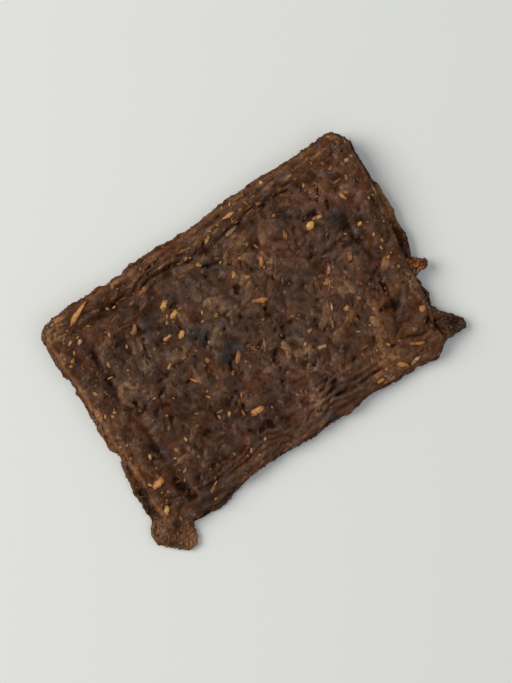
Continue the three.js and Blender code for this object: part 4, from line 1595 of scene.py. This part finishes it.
# The nub was squeezed out raw and dried through: it is the reddest part of the chew.
red_meat = meat_material(
    "dried_red_meat",
    [(0.0, "351e12"), (0.4, "4d2c18"), (0.75, "714522"), (1.0, "a97538")],
)

# %% [markdown]
# ### Sinew
# Connective tissue dries tan and half clear, in short curly bits with a slight gloss.

# %% Dried sinew
sinew_skin = meat_material(
    "dried_sinew",
    [(0.0, "50341f"), (0.4, "6f4c2d"), (0.8, "946e47"), (1.0, "b5905e")],
)

# %% [markdown]
# ### Flecks
# Gristle dries clear and golden, bone and cartilage dry cream, and bits of skin or fat
# dry orange-brown. All are hard and a little glossy.


# %% Fleck colours
def fleck_material(name, stops):
    """A hard, half clear fleck: meat shows through its thin edges, so its colour runs from
    brown there to its own brightness on the crown, mottled by 0.5 mm, with a rough face."""
    material, tree, shader, where = new_material(name)
    own = add(tree, "ShaderNodeVertexColor", {"layer_name": "strand"}).outputs["Color"]
    split = add(tree, "ShaderNodeSeparateColor", None, {"Color": own})
    bright, crown = split.outputs[0], split.outputs[1]
    mottled = level(tree, noise(tree, where, 0.6, 3.0), 0.3, 0.7, -0.22, 0.22)
    clear = level(tree, crown, 0.0, 0.8, -0.5, 0.12)
    colour = ramp(tree, total(tree, bright, mottled, clear), stops)
    rusty = level(tree, noise(tree, where, 1.1, 2.0), 0.5, 0.62, 0.0, 0.45)
    colour = mix(tree, "MIX", rusty, colour, srgb("9b6030"))
    pits = noise(tree, where, 0.3, 2.0, 0.6)
    tree.links.new(colour, shader.inputs["Base Color"])
    tree.links.new(raised(tree, pits, 0.06, 0.5), shader.inputs["Normal"])
    shader.inputs["Roughness"].default_value = 0.5
    shader.inputs["Specular IOR Level"].default_value = 0.3
    return material


gold_skin = fleck_material(
    "dried_gristle", [(0.0, "4a2f1c"), (0.25, "7a5229"), (0.6, "a67a40"), (1.0, "d0a45a")]
)
cream_skin = fleck_material(
    "dried_cartilage", [(0.0, "4d3524"), (0.3, "7a6044"), (0.65, "a08860"), (1.0, "c9b68c")]
)
orange_skin = fleck_material(
    "dried_skin", [(0.0, "4a2b18"), (0.25, "774826"), (0.6, "a26b38"), (1.0, "c88e4a")]
)

pieces = [
    (slab, meat),
    (lean, meat),
    (grains, meat),
    (wall, meat),
    (crumbs, meat),
    (tag_shreds, meat),
    (nub_shreds, red_meat),
    (under, meat),
    (fibres, meat),
    (sinew, sinew_skin),
    (shreds_at_back, sinew_skin),
    (gold, gold_skin),
    (cream, cream_skin),
    (orange, orange_skin),
]
for piece, material in pieces:
    piece.data.materials.append(material)
    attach(piece, "root")
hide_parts("jerky_chew")

# %% [markdown]
# ## Floor, light and camera
# A plain pale floor under one large soft light from the upper left of the picture, with
# a weak even light from all round.

# %% Floor
floor_mesh = bpy.data.meshes.new("floor")
FLOOR_HALF = 1.5
corners = [(FLOOR_HALF * a, FLOOR_HALF * b, 0) for a, b in ((-1, -1), (1, -1), (1, 1), (-1, 1))]
floor_mesh.from_pydata(corners, [], [(0, 1, 2, 3)])
floor = bpy.data.objects.new("floor", floor_mesh)
bpy.context.scene.collection.objects.link(floor)
floor_skin = bpy.data.materials.new("pale_floor")
floor_skin.use_nodes = True
floor_shader = floor_skin.node_tree.nodes["Principled BSDF"]
floor_shader.inputs["Base Color"].default_value = srgb("dfe0dc")
floor_shader.inputs["Roughness"].default_value = 0.6
floor_mesh.materials.append(floor_skin)

# %% Light and camera
# Seen from the chew: the camera's direction, and the way that is up in the picture.
VIEW = np.array([-0.18, 0.07, 0.98])
PICTURE_UP = np.array([0.563, 0.826, 0.0])
CAMERA_DISTANCE = 0.43
FRAME_HIGH = 0.137


def looking(direction, up):
    """Turn of a camera or lamp whose back faces that direction: rows right, up, back."""
    back = unit(np.array(direction, float))
    right = unit(np.cross(up, back))
    turn = np.stack([right, np.cross(back, right), back], axis=1)
    return Matrix(turn.tolist()).to_euler()


centre = np.array([0.0, 0.0, 0.003])
camera_data = bpy.data.cameras.new("camera")
camera = bpy.data.objects.new("camera", camera_data)
bpy.context.scene.collection.objects.link(camera)
camera.location = centre + unit(VIEW) * CAMERA_DISTANCE
camera.rotation_euler = looking(VIEW, PICTURE_UP)
camera_data.sensor_width = 36
camera_data.lens = 36 * CAMERA_DISTANCE / FRAME_HIGH
camera_data.clip_start, camera_data.clip_end = 0.01, 10
bpy.context.scene.camera = camera


def soft_light(name, direction, distance, size, power, colour):
    """A square area light that faces the chew from a direction."""
    lamp_data = bpy.data.lights.new(name, "AREA")
    lamp_data.shape = "SQUARE"
    lamp_data.size = size
    lamp_data.energy = power
    lamp_data.color = srgb(colour)[:3]
    lamp = bpy.data.objects.new(name, lamp_data)
    bpy.context.scene.collection.objects.link(lamp)
    lamp.location = centre + unit(np.array(direction, float)) * distance
    lamp.rotation_euler = looking(direction, np.array([0.0, 1.0, 0.0]))
    return lamp


soft_light("window", (-0.6, 0.5, 0.62), 1.25, 0.75, 15.0, "fffdf8")
soft_light("ceiling", (0.1, -0.2, 1.0), 1.2, 1.4, 3.0, "f4f8ff")

world = bpy.data.worlds.new("room_light")
world.use_nodes = True
world.node_tree.nodes["Background"].inputs["Color"].default_value = srgb("eef1f4")
world.node_tree.nodes["Background"].inputs["Strength"].default_value = 0.34
bpy.context.scene.world = world
bpy.context.scene.view_settings.view_transform = "Standard"
